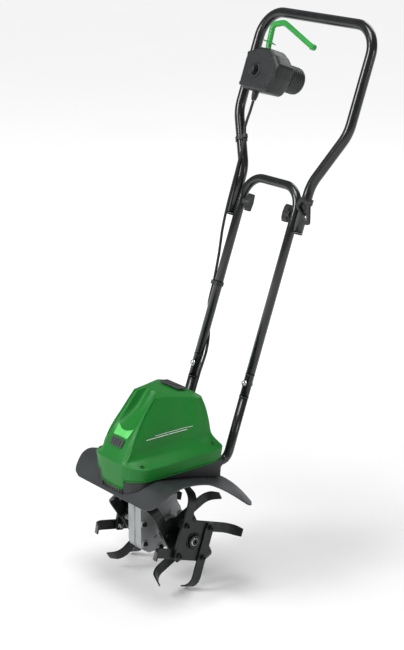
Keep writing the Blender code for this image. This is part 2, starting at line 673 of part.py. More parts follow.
def build_lower_frame():
    """The bolted lower frame: two bent tubes into the housing and an arch sleeved onto them."""
    for side, word in ((1, "left"), (-1, "right")):
        x = side * LOWER_X
        corner = on_handle(x, -0.1270)
        inside = at(x, 0.0800, TUBE_ENTRY_Z - 0.0010)
        entry = at(x, 0.1250, TUBE_ENTRY_Z + 0.0005)
        path = rounded_path([inside, entry, corner + Vector((0, 0.0015, 0.002)),
                             on_handle(x, -GAP)], [0.02, 0.03], 6)
        neck = [on_handle(x, 0.0), on_handle(x, 0.0400)]
        radii = [LOWER_R] * len(path) + [LOWER_R - LOWER_WALL - GAP] * 2
        lower = tube("lower_tube_" + word, path + neck, radii, LOWER_WALL, "black_paint")
        bore(lower, on_handle(x, SLEEVE_S, -0.02), on_handle(x, SLEEVE_S, 0.02), 0.0030, 12)
        turned("frame_bolt_" + word, on_handle(x, SLEEVE_S, -0.0112), OUT,
               [(0.0046, 0.0), (0.0046, 0.0012), (0.0026, 0.0014), (0.0026, 0.0210),
                (0.0050, 0.0212), (0.0050, 0.0240), (0.0030, 0.0252)], "steel", 16)
    points = [on_handle(-LOWER_X, GAP), on_handle(-LOWER_X, ARCH_S), on_handle(LOWER_X, ARCH_S),
              on_handle(LOWER_X, GAP)]
    arch = tube("frame_arch", rounded_path(points, [0.048, 0.048], 9), LOWER_R, LOWER_WALL,
                "black_paint")
    for side in (-1, 1):
        x = side * LOWER_X
        bore(arch, on_handle(x, SLEEVE_S, -0.02), on_handle(x, SLEEVE_S, 0.02), 0.0030, 12)
        bore(arch, on_handle(x - 0.02, PIVOT_S), on_handle(x + 0.02, PIVOT_S), 0.0034, 12)
    return arch


def build_loop():
    """The folding hand loop, flared above the fold joint, with its pivot bolts."""
    half = [on_handle(UPPER_X, LEG_END_S), on_handle(UPPER_X, FLARE_LOW_S),
            on_handle(LOOP_X, FLARE_HIGH_S), on_handle(LOOP_X, LOOP_TOP_S)]
    points = [Vector((-p.x, p.y, p.z)) for p in half] + half[::-1]
    loop = tube("handle_loop", rounded_path(points, [0.075, 0.080, 0.058, 0.058, 0.080, 0.075], 6),
                UPPER_R, UPPER_WALL, "black_paint", 14)
    for side, word in ((1, "left"), (-1, "right")):
        x = side * UPPER_X
        bore(loop, on_handle(x - 0.02, PIVOT_S), on_handle(x + 0.02, PIVOT_S), 0.0034, 12)
        head = on_handle(side * (UPPER_X + UPPER_R + 0.0045), PIVOT_S)
        turned("pivot_bolt_" + word, head, ACROSS * -side,
               [(0.0040, 0.0), (0.0065, 0.0012), (0.0065, 0.0042), (0.0030, 0.0044),
                (0.0030, 0.0560), (0.0022, 0.0568)], "steel", 16)
        build_knob("wing_knob_" + word, side)
    return loop


def build_knob(name, side):
    """A winged clamping knob on the pivot bolt, inside the frame."""
    face = side * (LOWER_X - LOWER_R - GAP * 2)
    start = on_handle(face, PIVOT_S)
    knob = turned(name, start, ACROSS * -side,
                  [(0.0085, 0.0), (0.0090, 0.0010), (0.0080, 0.0100), (0.0070, 0.0150),
                   (0.0050, 0.0180)], "black_plastic", 20)
    wing = [(-0.0175, -0.0040), (-0.0185, 0.0010), (-0.0120, 0.0045), (0.0, 0.0060),
            (0.0120, 0.0045), (0.0185, 0.0010), (0.0175, -0.0040), (0.0, -0.0060)]

    def place(a, b, c):
        return on_handle(face - side * c, PIVOT_S) + ALONG * a + OUT * b

    tool = prism("join_" + name, wing, place, 0.0075, 0.0225, None)
    combine(knob, tool, "UNION")
    bore(knob, on_handle(face + side * 0.005, PIVOT_S), on_handle(face - side * 0.0145, PIVOT_S),
         0.0034, 12)
    return knob


def clamp_ring(name, x, s, radius, length, look, wall=0.0036, way=ALONG):
    """A ring round a tube that runs along the handle, or along way."""
    inner = radius + GAP
    outer = inner + wall
    return turned(name, on_handle(x, s) - way * (length / 2), way,
                  [(inner, 0.0), (outer, 0.0), (outer, length), (inner, length)], look, 20, True)


def build_hook():
    """The triangular cable hook clipped round the loop's left leg."""
    hook = clamp_ring("cable_hook", UPPER_X, 0.4180, UPPER_R, 0.0130, "black_plastic")
    corners = [(0.0955, 0.4050), (0.1050, 0.4260), (0.1330, 0.4170), (0.1480, 0.3760),
               (0.1380, 0.3720)]
    outer = corner_outline(corners, [0.005, 0.008, 0.006, 0.004, 0.004], 3)
    inner = corner_outline([(0.1040, 0.4045), (0.1100, 0.4165), (0.1280, 0.4110),
                            (0.1390, 0.3810), (0.1375, 0.3800)], [0.003, 0.005, 0.004, 0.001, 0.001], 3)
    loop = prism("join_hook", outer, on_handle, 0.0122, 0.0172, None)
    combine(hook, loop, "UNION")
    tool = prism("cut_hook", inner, on_handle, 0.0080, 0.0220, None)
    combine(hook, tool, "DIFFERENCE")
    return hook


def build_clips():
    """The two cable clips, upper on the loop's leg and lower on the frame tube."""
    for name, x, s, radius, cable, way in (
            ("cable_clip_upper", -0.1372, 0.5090, UPPER_R, on_handle(-0.1239, 0.5165, 0.0040),
             LEG_WAY), ("cable_clip_lower", -LOWER_X, 0.2030, LOWER_R,
                        on_handle(-0.0981, 0.2030, 0.0020), ALONG)):
        clip = clamp_ring(name, x, s, radius, 0.0090, "black_plastic", 0.0018, way)
        ear = stack("join_" + name, [circle(cable - way * 0.0042, way, CABLE_R + 0.0028, 16),
                                     circle(cable + way * 0.0042, way, CABLE_R + 0.0028, 16)], None)
        combine(clip, ear, "UNION")
        bore(clip, cable - way * 0.01, cable + way * 0.01, CABLE_R + 0.0014, 12)
        clear = on_handle(x, s)
        bore(clip, clear - way * 0.01, clear + way * 0.01, radius + 0.0006, 20)


LEG_WAY = (ACROSS * -(LOOP_X - UPPER_X) + ALONG * (FLARE_HIGH_S - FLARE_LOW_S)).normalized()


def build_cable():
    """The motor cable, clipped down the frame from the switch box into the housing."""
    route = [on_handle(-0.1240, 0.5930, 0.0080), on_handle(-0.1260, 0.5700, 0.0070),
             on_handle(-0.1315, 0.5350, 0.0045), on_handle(-0.1239, 0.5165, 0.0040),
             on_handle(-0.1150, 0.4950, 0.0100), on_handle(-0.1090, 0.4650, 0.0146),
             on_handle(-0.1065, 0.4300, 0.0160), on_handle(-0.1050, 0.3900, 0.0168),
             on_handle(-0.1045, 0.3520, 0.0158), on_handle(-0.1030, 0.3100, 0.0130),
             on_handle(-0.1005, 0.2650, 0.0070), on_handle(-0.0981, 0.2030, 0.0020),
             on_handle(-0.0981, 0.1600, 0.0), on_handle(-0.0945, 0.1250, -0.0095),
             on_handle(-0.0845, 0.0900, -0.0132), on_handle(-0.0750, 0.0550, -0.0100),
             on_handle(-0.0712, 0.0150, -0.0040), on_handle(-0.0708, -0.0400, -0.0030),
             at(-0.0695, 0.1480, 0.2700), at(-0.0660, 0.1350, 0.2400),
             at(CABLE_ENTRY[0], 0.1180, CABLE_ENTRY[1] + 0.0010),
             at(CABLE_ENTRY[0], 0.0900, CABLE_ENTRY[1])]
    curve = bpy.data.curves.new("power_cable", "CURVE")
    curve.dimensions = "3D"
    curve.bevel_depth = CABLE_R
    curve.bevel_resolution = 2
    curve.use_fill_caps = True
    curve.resolution_u = 1
    points = smooth_half(route, 2)
    spline = curve.splines.new("POLY")
    spline.points.add(len(points) - 1)
    for slot, point in zip(spline.points, points):
        slot.co = (point.x, point.y, point.z, 1.0)
    curve.materials.append(material_for("power_cable", "rubber"))
    obj = bpy.data.objects.new("power_cable", curve)
    bpy.context.scene.collection.objects.link(obj)
    return obj


# ---- switch box ----------------------------------------------------------------------------------
def box_outline(inset):
    """Front view of the switch box in x, s."""
    left, right = BOX_LEFT + inset, BOX_RIGHT - inset
    low, high = BOX_LOW + inset, BOX_HIGH - inset
    points = [(left, low + 0.006), (left + 0.012, low), (right - 0.016, low), (right, low + 0.034),
              (right, high - 0.030), (right - 0.022, high - 0.011), (left + 0.066, high),
              (left + 0.034, high), (left, high - 0.013)]
    radii = [0.004, 0.006, 0.014, 0.014, 0.012, 0.010, 0.006, 0.006, 0.004]
    return corner_outline(points, [max(r - inset * 0.4, 0.0015) for r in radii], 3)


def cup(name, levels, wall, look):
    """A shell open at its first level: levels are (inset, o) from the rim to the closed end."""
    outer = [[on_handle(x, s, o) for x, s in box_outline(inset)] for inset, o in levels]
    sign = 1 if levels[-1][1] > levels[0][1] else -1
    inner_levels = [(inset + wall, o) for inset, o in levels[:-1]]
    inner_levels[-1] = (inner_levels[-1][0], levels[-1][1] - sign * wall)
    inner = [[on_handle(x, s, o) for x, s in box_outline(inset)] for inset, o in inner_levels]
    rings = outer[::-1] + inner
    return stack(name, rings, look)


def build_switch_box():
    """The two-part switch box with its plug inlet, button, lever and micro switch."""
    front = cup("switch_shell_front", [(0.0, BOX_SPLIT + GAP), (0.0, BOX_FRONT - 0.0080),
                                       (0.0030, BOX_FRONT - 0.0020), (0.0060, BOX_FRONT)],
                0.0024, "black_plastic")
    rear = cup("switch_shell_rear", [(0.0, BOX_SPLIT), (0.0, BOX_BACK + 0.0060),
                                     (0.0020, BOX_BACK + 0.0015), (0.0040, BOX_BACK)],
               0.0024, "black_plastic")
    ring = turned("join_rear_ring", on_handle(-LOOP_X, 0.6300), ALONG,
                  [(0.0118, 0.0), (0.0150, 0.0), (0.0150, 0.0500), (0.0118, 0.0500)], None, 24, True)
    combine(rear, ring, "UNION")
    clear = prism("cut_rear_seam", [(-0.20, 0.61), (-0.12, 0.61), (-0.12, 0.72), (-0.20, 0.72)],
                  on_handle, BOX_SPLIT, BOX_SPLIT + 0.02, None)
    combine(rear, clear, "DIFFERENCE")
    bore(rear, on_handle(-LOOP_X, 0.60), on_handle(-LOOP_X, 0.71), UPPER_R + 0.0004, 24)
    slot = [(-0.1330, 0.6800), (-0.1010, 0.6800), (-0.1010, 0.7200), (-0.1330, 0.7200)]
    for shell, low, high in ((front, 0.0, 0.0182), (rear, 0.0058, 0.02)):
        tool = prism("cut_slot_" + shell.name, slot, on_handle, low, high, None)
        combine(shell, tool, "DIFFERENCE")
    bx, bs = BUTTON_AT
    bore(front, on_handle(bx, bs, 0.02), on_handle(bx, bs, 0.05), 0.0099, 20)
    turned("lock_button", on_handle(bx, bs, 0.0250), OUT,
           [(0.0120, 0.0), (0.0120, 0.0020), (0.0094, 0.0022), (0.0094, 0.0200),
            (0.0084, 0.0212)], "black_plastic", 24)
    ix, isv = INLET_AT
    bore(rear, on_handle(ix, isv, -0.03), on_handle(ix, isv, -0.005), 0.0190, 24)
    turned("plug_inlet", on_handle(ix, isv, BOX_BACK - GAP), -OUT,
           [(0.0255, 0.0), (0.0285, 0.0), (0.0285, 0.0360), (0.0272, 0.0370), (0.0260, 0.0360),
            (0.0260, 0.0060), (0.0180, 0.0045), (0.0180, -0.0060), (0.0140, -0.0060),
            (0.0140, 0.0020), (0.0160, 0.0020)], "black_plastic", 28, True)
    pins = turned("inlet_pins", on_handle(ix, isv, BOX_BACK + 0.0056), -OUT,
                  [(0.0136, 0.0), (0.0136, 0.0060), (0.0128, 0.0080)], "black_plastic", 24)
    for dx in (-0.0065, 0.0065):
        foot = on_handle(ix + dx, isv, BOX_BACK)
        pin = stack("join_pin_%d" % int(dx * 10000), [circle(foot, OUT, 0.0022, 12),
                                                      circle(foot - OUT * 0.0260, OUT, 0.0022, 12)],
                    None)
        combine(pins, pin, "UNION")
    prism("micro_switch", corner_outline([(-0.1500, 0.6200), (-0.1300, 0.6200), (-0.1300, 0.6420),
                                          (-0.1500, 0.6420)], 0.002, 2),
          on_handle, -0.0080, 0.0060, "black_plastic")
    relief = turned("strain_relief", on_handle(-0.1240, 0.6115, 0.0080), -ALONG,
                    [(0.0042, 0.0), (0.0075, 0.0), (0.0068, 0.0090), (0.0050, 0.0180),
                     (0.0042, 0.0180)], "rubber", 16, True)
    return relief


def build_lever():
    """The green switch lever: a stem out of the box and an arm under the top bar."""
    depth = 0.0120
    px, ps = LEVER_PIVOT
    pts = [on_handle(px, ps, depth), on_handle(-0.1190, 0.7080, depth),
           on_handle(-0.1235, 0.7560, depth), on_handle(-0.0900, 0.7640, depth),
           on_handle(0.0140, 0.7235, depth)]
    path = rounded_path(pts, [0.02, 0.011, 0.030], 6)
    count = len(path)
    wide, flat = [], []
    for i in range(count):
        f = i / (count - 1)
        wide.append(0.0058 + 0.0010 * math.sin(math.pi * f))
        flat.append(0.0056)
    rings = []
    for i, point in enumerate(path):
        ahead = path[min(i + 1, count - 1)] - point
        behind = point - path[max(i - 1, 0)]
        d = (ahead.normalized() + behind.normalized()).normalized()
        u = OUT.cross(d).normalized()
        ring = []
        for k in range(12):
            a = 2.0 * math.pi * k / 12
            ring.append(point + u * wide[i] * math.cos(a) + OUT * flat[i] * math.sin(a))
        rings.append(ring)
    lever = stack("switch_lever", rings, "lever_plastic")
    tip = stack("join_lever_tip", [circle(on_handle(0.0140, 0.7240, depth + o), OUT, r, 20)
                                   for o, r in ((-0.0058, 0.0052), (-0.0045, 0.0066),
                                                (0.0045, 0.0066), (0.0058, 0.0052))], None)
    combine(lever, tip, "UNION")
    flange = [(-0.1320, 0.7190), (-0.1060, 0.7150), (-0.1060, 0.7165), (-0.1180, 0.7205),
              (-0.1320, 0.7215)]
    tool = prism("join_lever_flange", flange, on_handle, depth - 0.0070, depth + 0.0070, None)
    combine(lever, tool, "UNION")
    return lever


# ---- joints --------------------------------------------------------------------------------------
def group(name, point, nodes):
    """Parent nodes to an empty that sits on their joint axis."""
    empty = bpy.data.objects.new(name, None)
    bpy.context.scene.collection.objects.link(empty)
    empty.location = point
    for node in nodes:
        obj = bpy.data.objects[node]
        obj.parent = empty
        obj.matrix_parent_inverse = Matrix.Translation(-point)
    return empty


def parent_cutters():
    """Carry each hidden solid with the piece that it cuts or joins."""
    for obj in list(bpy.data.objects):
        if obj.type != "MESH" or obj.hide_render:
            continue
        for mod in obj.modifiers:
            mod.object.parent = obj
            mod.object.matrix_parent_inverse = obj.matrix_basis.inverted()


def main():
    """Build every piece, then the groups that move."""
    clear_scene()
    build_cover()
    build_base()
    build_guard()
    build_vents()
    build_gearbox()
    build_shaft_drive()
    build_worm()
    build_motor()
    build_rotors()
    build_lower_frame()
    build_loop()
    build_hook()
    build_clips()
    build_cable()
    build_switch_box()
    build_lever()
    parent_cutters()
    pivot = on_handle(0.0, PIVOT_S)
    handle = ["handle_loop", "pivot_bolt_left", "pivot_bolt_right", "cable_hook",
              "switch_shell_front", "switch_shell_rear", "plug_inlet", "inlet_pins",
              "micro_switch", "strain_relief", "cable_clip_upper"]
    fold = group("fold_joint", pivot, handle)
    lever = group("lever_joint", on_handle(*LEVER_PIVOT, 0.0120), ["switch_lever"])
    button = group("button_joint", on_handle(*BUTTON_AT, 0.0250), ["lock_button"])
    knob_left = group("knob_left_joint", on_handle(LOWER_X, PIVOT_S), ["wing_knob_left"])
    knob_right = group("knob_right_joint", on_handle(-LOWER_X, PIVOT_S), ["wing_knob_right"])
    for moving in (lever, button, knob_left, knob_right):
        moving.parent = fold
        moving.matrix_parent_inverse = Matrix.Translation(-pivot)
    tines = ["tine_shaft", "worm_wheel", "retaining_clip_left", "retaining_clip_right"]
    tines += [o.name for o in bpy.data.objects
              if o.name.startswith(("rotor_plate_", "blade_")) and not o.hide_render]
    group("tine_joint", AXLE, tines)
    group("motor_joint", at(0, AXLE_Y + WORM_Y, 0.25), ["motor_shaft", "armature"])


main()
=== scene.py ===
"""Looks for the electric garden tiller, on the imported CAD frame.

Frame: metres, +Z up, -Y is the front. The handle's pieces are placed in the handle plane: x across,
s up the handle and o out of it. The numbers at the top repeat the CAD's driving dimensions.
"""
import json
import math

import bmesh
import bpy
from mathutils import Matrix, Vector
from mathutils.bvhtree import BVHTree

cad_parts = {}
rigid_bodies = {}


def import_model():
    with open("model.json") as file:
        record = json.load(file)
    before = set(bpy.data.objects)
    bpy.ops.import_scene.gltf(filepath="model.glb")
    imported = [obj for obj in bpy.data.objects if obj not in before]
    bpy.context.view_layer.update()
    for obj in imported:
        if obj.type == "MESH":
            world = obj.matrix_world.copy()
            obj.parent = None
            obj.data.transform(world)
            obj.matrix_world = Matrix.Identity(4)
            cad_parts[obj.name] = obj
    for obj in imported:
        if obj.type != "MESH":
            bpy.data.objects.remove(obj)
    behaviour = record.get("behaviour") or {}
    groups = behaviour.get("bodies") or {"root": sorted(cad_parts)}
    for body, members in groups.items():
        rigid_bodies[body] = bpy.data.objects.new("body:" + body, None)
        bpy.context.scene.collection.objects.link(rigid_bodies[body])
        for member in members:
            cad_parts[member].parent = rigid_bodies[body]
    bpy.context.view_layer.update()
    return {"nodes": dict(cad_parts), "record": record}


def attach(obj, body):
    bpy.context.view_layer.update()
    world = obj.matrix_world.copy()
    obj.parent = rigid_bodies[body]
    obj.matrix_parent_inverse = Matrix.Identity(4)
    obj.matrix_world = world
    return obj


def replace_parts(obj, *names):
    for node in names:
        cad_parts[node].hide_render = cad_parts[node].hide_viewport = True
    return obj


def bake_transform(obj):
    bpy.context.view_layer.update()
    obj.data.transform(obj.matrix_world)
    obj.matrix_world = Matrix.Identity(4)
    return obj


BODY_Y, LIFT = -0.1787, 0.0338
HANDLE_TILT = math.radians(70.07)
HANDLE_REF = (0.1781, 0.3521)
LOWER_X, LOWER_R = 0.0845, 0.0095
UPPER_X, UPPER_R, PIVOT_S = 0.1055, 0.0108, 0.3850
SLEEVE_S, SHAFT_HALF = 0.0280, 0.1125
ROTORS = {"inner_left": (0.0680, 26.0), "outer_left": (0.1040, -19.0),
          "inner_right": (-0.0680, 33.0), "outer_right": (-0.1000, -12.0)}
BOLT_HALF, PLATE_T, BLADE_T = 0.0319, 0.0040, 0.0040
BUTTON_AT, INLET_AT = (-0.1150, 0.6540), (-0.0770, 0.6550)
BOX_BACK, BOX_FRONT = -0.0140, 0.0340
LOOP_END_S, FLARE_LOW_S, FLARE_HIGH_S, LOOP_TOP_S = 0.3530, 0.4520, 0.5680, 0.7860
LOOP_HALF, ARCH_S = 0.1700, 0.4400
LOOP_BENDS = [0.0750, 0.0800, 0.0580, 0.0580, 0.0800, 0.0750]
ARCH_BENDS = [0.0480, 0.0480]
HOUSING_BENDS = [0.0200, 0.0300]
TUBE_SIDES = 32


def at(x, y, z):
    """A point in the body's own y and z."""
    return Vector((x, BODY_Y + y, LIFT + z))


ALONG = Vector((0.0, math.cos(HANDLE_TILT), math.sin(HANDLE_TILT)))
OUT = Vector((0.0, -math.sin(HANDLE_TILT), math.cos(HANDLE_TILT)))
ACROSS = Vector((1.0, 0.0, 0.0))
UP = Vector((0.0, 0.0, 1.0))
REARWARD = Vector((0.0, 1.0, 0.0))
AXLE = at(0.0, 0.0290, 0.0800)


def on_handle(x, s, o=0.0):
    """A point in the handle plane."""
    return at(0.0, *HANDLE_REF) + ACROSS * x + ALONG * s + OUT * o


# ---- materials ---------------------------------------------------------------------------------
def material(name, dark, light, roughness, metallic=0.0, coat=0.0, mottle=30.0, grain=900.0,
             relief=0.00006, spread=0.06, stretch=(1.0, 1.0, 1.0), chips=None, specular=0.5):
    """A surface with uneven colour, uneven gloss, fine relief and, where given, worn chips."""
    mat = bpy.data.materials.new(name)
    mat.use_nodes = True
    tree = mat.node_tree
    shader = tree.nodes["Principled BSDF"]
    shader.inputs["Metallic"].default_value = metallic
    shader.inputs["Coat Weight"].default_value = coat
    shader.inputs["Coat Roughness"].default_value = 0.12
    shader.inputs["Specular IOR Level"].default_value = specular

    def node(kind, **values):
        made = tree.nodes.new(kind)
        for key, value in values.items():
            made.inputs[key].default_value = value
        return made

    place = node("ShaderNodeTexCoord")
    scaled = node("ShaderNodeMapping", Scale=stretch)
    tree.links.new(place.outputs["Object"], scaled.inputs["Vector"])
    cloud = node("ShaderNodeTexNoise", Scale=mottle, Detail=4.0, Roughness=0.55)
    fine = node("ShaderNodeTexNoise", Scale=grain, Detail=3.0, Roughness=0.6)
    for noise in (cloud, fine):
        tree.links.new(scaled.outputs["Vector"], noise.inputs["Vector"])
    tint = node("ShaderNodeValToRGB")
    tint.color_ramp.elements[0].position = 0.30
    tint.color_ramp.elements[0].color = (*dark, 1.0)
    tint.color_ramp.elements[1].position = 0.70
    tint.color_ramp.elements[1].color = (*light, 1.0)
    tree.links.new(cloud.outputs["Fac"], tint.inputs["Fac"])
    colour = tint.outputs["Color"]
    if chips:
        spots = node("ShaderNodeTexNoise", Scale=chips[0], Detail=6.0, Roughness=0.7)
        tree.links.new(place.outputs["Object"], spots.inputs["Vector"])
        edge = node("ShaderNodeValToRGB")
        edge.color_ramp.elements[0].position = chips[1]
        edge.color_ramp.elements[1].position = chips[1] + 0.03
        tree.links.new(spots.outputs["Fac"], edge.inputs["Fac"])
        mix = tree.nodes.new("ShaderNodeMix")
        mix.data_type = "RGBA"
        mix.inputs["B"].default_value = (*chips[2], 1.0)
        tree.links.new(edge.outputs["Color"], mix.inputs["Factor"])
        tree.links.new(colour, mix.inputs["A"])
        colour = mix.outputs["Result"]
    tree.links.new(colour, shader.inputs["Base Color"])
    gloss = node("ShaderNodeMapRange")
    gloss.inputs["To Min"].default_value = max(roughness - spread, 0.03)
    gloss.inputs["To Max"].default_value = roughness + spread
    tree.links.new(cloud.outputs["Fac"], gloss.inputs["Value"])
    tree.links.new(gloss.outputs["Result"], shader.inputs["Roughness"])
    bump = node("ShaderNodeBump", Strength=0.6, Distance=relief)
    tree.links.new(fine.outputs["Fac"], bump.inputs["Height"])
    tree.links.new(bump.outputs["Normal"], shader.inputs["Normal"])
    return mat


def make_materials():
    """Every surface of the machine."""
    return {
        "green": material("green_gloss", (0.0020, 0.150, 0.0120), (0.0045, 0.188, 0.0190), 0.44,
                          coat=0.0, specular=0.35, mottle=9.0, grain=1400.0, relief=0.00004),
        "lever": material("lever_green", (0.010, 0.240, 0.028), (0.016, 0.310, 0.040), 0.36,
                          coat=0.08, mottle=40.0, grain=1500.0),
        "label": material("label_green", (0.085, 0.560, 0.110), (0.150, 0.690, 0.170), 0.32,
                          coat=0.3, mottle=45.0, grain=1200.0, relief=0.00002),
        "paint": material("black_gloss_paint", (0.004, 0.0045, 0.005), (0.009, 0.010, 0.011), 0.22,
                          coat=0.25, mottle=60.0, grain=520.0, relief=0.00005, specular=0.45),
        "blade": material("black_blade_paint", (0.005, 0.006, 0.0065), (0.014, 0.016, 0.017), 0.36,
                          metallic=0.15, coat=0.08, specular=0.4, mottle=70.0, grain=700.0,
                          relief=0.00010, chips=(95.0, 0.705, (0.16, 0.165, 0.17))),
        "black": material("black_plastic", (0.007, 0.008, 0.009), (0.013, 0.015, 0.016), 0.44,
                          mottle=50.0, grain=1700.0, relief=0.00014),
        "guard": material("grey_plastic", (0.024, 0.0275, 0.0295), (0.034, 0.038, 0.041), 0.40,
                          coat=0.05, mottle=14.0, grain=1500.0, relief=0.00012),
        "vent": material("vent_grey", (0.030, 0.033, 0.035), (0.045, 0.049, 0.052), 0.5,
                         mottle=60.0, grain=1600.0, relief=0.00010),
        "cast": material("cast_aluminium", (0.36, 0.375, 0.38), (0.42, 0.435, 0.44), 0.42,
                         metallic=0.6, mottle=40.0, grain=700.0, relief=0.00012, spread=0.05),
        "boss": material("cast_dark", (0.020, 0.022, 0.023), (0.040, 0.043, 0.045), 0.42,
                         metallic=0.4, mottle=90.0, grain=420.0, relief=0.0003),
        "steel": material("bright_steel", (0.46, 0.47, 0.48), (0.62, 0.63, 0.64), 0.26,
                          metallic=1.0, mottle=120.0, grain=900.0, stretch=(1.0, 1.0, 9.0)),
        "dark_steel": material("black_oxide", (0.014, 0.015, 0.016), (0.030, 0.032, 0.034), 0.34,
                               metallic=0.7, mottle=200.0, grain=900.0),
        "brass": material("wheel_brass", (0.48, 0.33, 0.12), (0.62, 0.45, 0.19), 0.32,
                          metallic=1.0, mottle=120.0, grain=700.0),
        "copper": material("winding_copper", (0.32, 0.13, 0.05), (0.48, 0.22, 0.10), 0.38,
                           metallic=0.9, mottle=260.0, grain=900.0, stretch=(1.0, 1.0, 6.0)),
        "rubber": material("cable_rubber", (0.006, 0.006, 0.007), (0.012, 0.012, 0.013), 0.52,
                           mottle=70.0, grain=1500.0, relief=0.00008),
        "pale": material("mark_pale", (0.55, 0.57, 0.55), (0.66, 0.68, 0.66), 0.40,
                         mottle=80.0, grain=1200.0, relief=0.00002),
    }


LOOK_OF_SLOT = {"green_plastic": "green", "lever_plastic": "lever", "black_plastic": "black",
                "grey_plastic": "guard", "black_paint": "paint", "cast_metal": "cast",
                "steel": "steel", "brass": "brass", "copper": "copper", "rubber": "rubber"}


def dress_nodes(frame, looks):
    """Every CAD node: rounded edges, even shading and its own finish."""
    slots = {part["node"]: part["material_slot"] for part in frame["record"]["subparts"]}
    for name, obj in frame["nodes"].items():
        look = LOOK_OF_SLOT[slots[name]]
        is_plate = name.startswith(("blade_", "rotor_plate_"))
        if is_plate:
            look = "blade"
        if name.endswith("vent_grille"):
            look = "vent"
        obj.data.materials.clear()
        obj.data.materials.append(looks[look])
        soften(obj, 0.0005 if is_plate else 0.0004)


def soften(obj, width):
    """Welds, rounds the sharp edges and evens the shading of a piece."""
    mesh = obj.data
    extra = mesh.attributes.get("custom_normal")
    if extra:
        mesh.attributes.remove(extra)
    mesh.polygons.foreach_set("use_smooth", [True] * len(mesh.polygons))
    weld = obj.modifiers.new("weld", "WELD")
    weld.merge_threshold = 0.00002
    bevel = obj.modifiers.new("bevel", "BEVEL")
    bevel.limit_method = "ANGLE"
    bevel.angle_limit = math.radians(42)
    bevel.width = width
    bevel.segments = 2
    bevel.use_clamp_overlap = True
    normals = obj.modifiers.new("normals", "WEIGHTED_NORMAL")
    normals.keep_sharp = False


# ---- making pieces -----------------------------------------------------------------------------
def piece(name, verts, faces, look, body, slot, round_by=0.0):
    """A new mesh piece that rides on a body."""
    mesh = bpy.data.meshes.new(name)
    mesh.from_pydata([tuple(v) for v in verts], [], faces)
    tidy = bmesh.new()
    tidy.from_mesh(mesh)
    bmesh.ops.recalc_face_normals(tidy, faces=tidy.faces)
    tidy.to_mesh(mesh)
    tidy.free()
    obj = bpy.data.objects.new(name, mesh)
    bpy.context.scene.collection.objects.link(obj)
    mesh.materials.append(look)
    mesh.polygons.foreach_set("use_smooth", [True] * len(mesh.polygons))
    if round_by:
        soften(obj, round_by)
    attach(obj, body)
    return obj


def side_ways(way):
    """Two directions square to way."""
    way = way.normalized()
    first = way.cross(UP if abs(way.z) < 0.9 else ACROSS).normalized()
    return first, way.cross(first)


def lathe(parts, base, way, profile, sides=28, notch=None):
    """Adds a turned shape; profile is (radius, height) and notch(i) scales one side."""
    verts, faces = parts
    way = way.normalized()
    u, v = side_ways(way)
    start = len(verts)
    for radius, height in profile:
        for i in range(sides):
            a = 2.0 * math.pi * i / sides
            r = radius * (notch(i) if notch else 1.0)
            verts.append(base + way * height + u * (r * math.cos(a)) + v * (r * math.sin(a)))
    for k in range(len(profile) - 1):
        for i in range(sides):
            j = (i + 1) % sides
            low, high = start + k * sides, start + (k + 1) * sides
            faces.append((low + i, low + j, high + j, high + i))
    faces.append(tuple(start + i for i in range(sides)))
    last = start + (len(profile) - 1) * sides
    faces.append(tuple(last + i for i in range(sides)))


def lathe_ring(parts, base, way, inner, outer, thick, sides=28, notch=None):
    """Adds a rounded open ring to (verts, faces)."""
    verts, faces = parts
    way = way.normalized()
    u, v = side_ways(way)
    edge = min(0.25 * (outer - inner), 0.25 * thick)
    profile = [(inner, edge), (inner + edge, 0.0), (outer - edge, 0.0), (outer, edge),
               (outer, thick - edge), (outer - edge, thick), (inner + edge, thick),
               (inner, thick - edge)]
    start = len(verts)
    for radius, height in profile:
        for i in range(sides):
            a = 2.0 * math.pi * i / sides
            r = radius * (notch(i) if notch and radius > (inner + outer) / 2 else 1.0)
            verts.append(base + way * height + u * (r * math.cos(a)) + v * (r * math.sin(a)))
    count = len(profile)
    for k in range(count):
        for i in range(sides):
            j = (i + 1) % sides
            low, high = start + k * sides, start + ((k + 1) % count) * sides
            faces.append((low + i, low + j, high + j, high + i))


def socket_bolt(parts, base, way, r=0.0048, h=0.0050):
    """A cap-head bolt with a washer and a hexagon socket."""
    lathe(parts, base, way, [(r * 1.45, 0.0), (r * 1.5, 0.0004), (r * 1.45, 0.0009)], 20)
    lathe(parts, base + way * 0.0009, way, [(r, 0.0), (r, h * 0.88), (r * 0.9, h)], 24)
    rim = base + way * (0.0009 + h)
    lathe(parts, rim, way, [(r * 0.90, 0.0), (r * 0.84, 0.0003), (r * 0.60, 0.0003),
                            (r * 0.54, -0.0002), (r * 0.50, -0.0022)], 24,
          lambda i: 1.0 - 0.05 * abs((i % 4) - 2))


def sweep(parts, path, radii, sides=12, squash=1.0, lift=None):
    """Adds a round-ended bar along path to (verts, faces)."""
    verts, faces = parts
    start = len(verts)
    for k, point in enumerate(path):
        way = path[min(k + 1, len(path) - 1)] - path[max(k - 1, 0)]
        way.normalize()
        u = lift.cross(way).normalized() if lift else side_ways(way)[0]
        v = way.cross(u)
        for i in range(sides):
            a = 2.0 * math.pi * i / sides
            over = radii[k] * squash * math.sin(a)
            verts.append(point + u * (radii[k] * math.cos(a)) + v * over)
    for k in range(len(path) - 1):
        for i in range(sides):
            j = (i + 1) % sides
            low, high = start + k * sides, start + (k + 1) * sides
            faces.append((low + i, low + j, high + j, high + i))
    faces.append(tuple(start + i for i in range(sides)))
    last = start + (len(path) - 1) * sides
    faces.append(tuple(last + i for i in range(sides)))


def tapered(count, thin, swell, rise):
    """Radii of a bar that is thin at both ends; a larger rise makes the tapers shorter."""
    last = count - 1
    return [thin + swell * min(1.0, rise * min(k, last - k) / last) for k in range(count)]


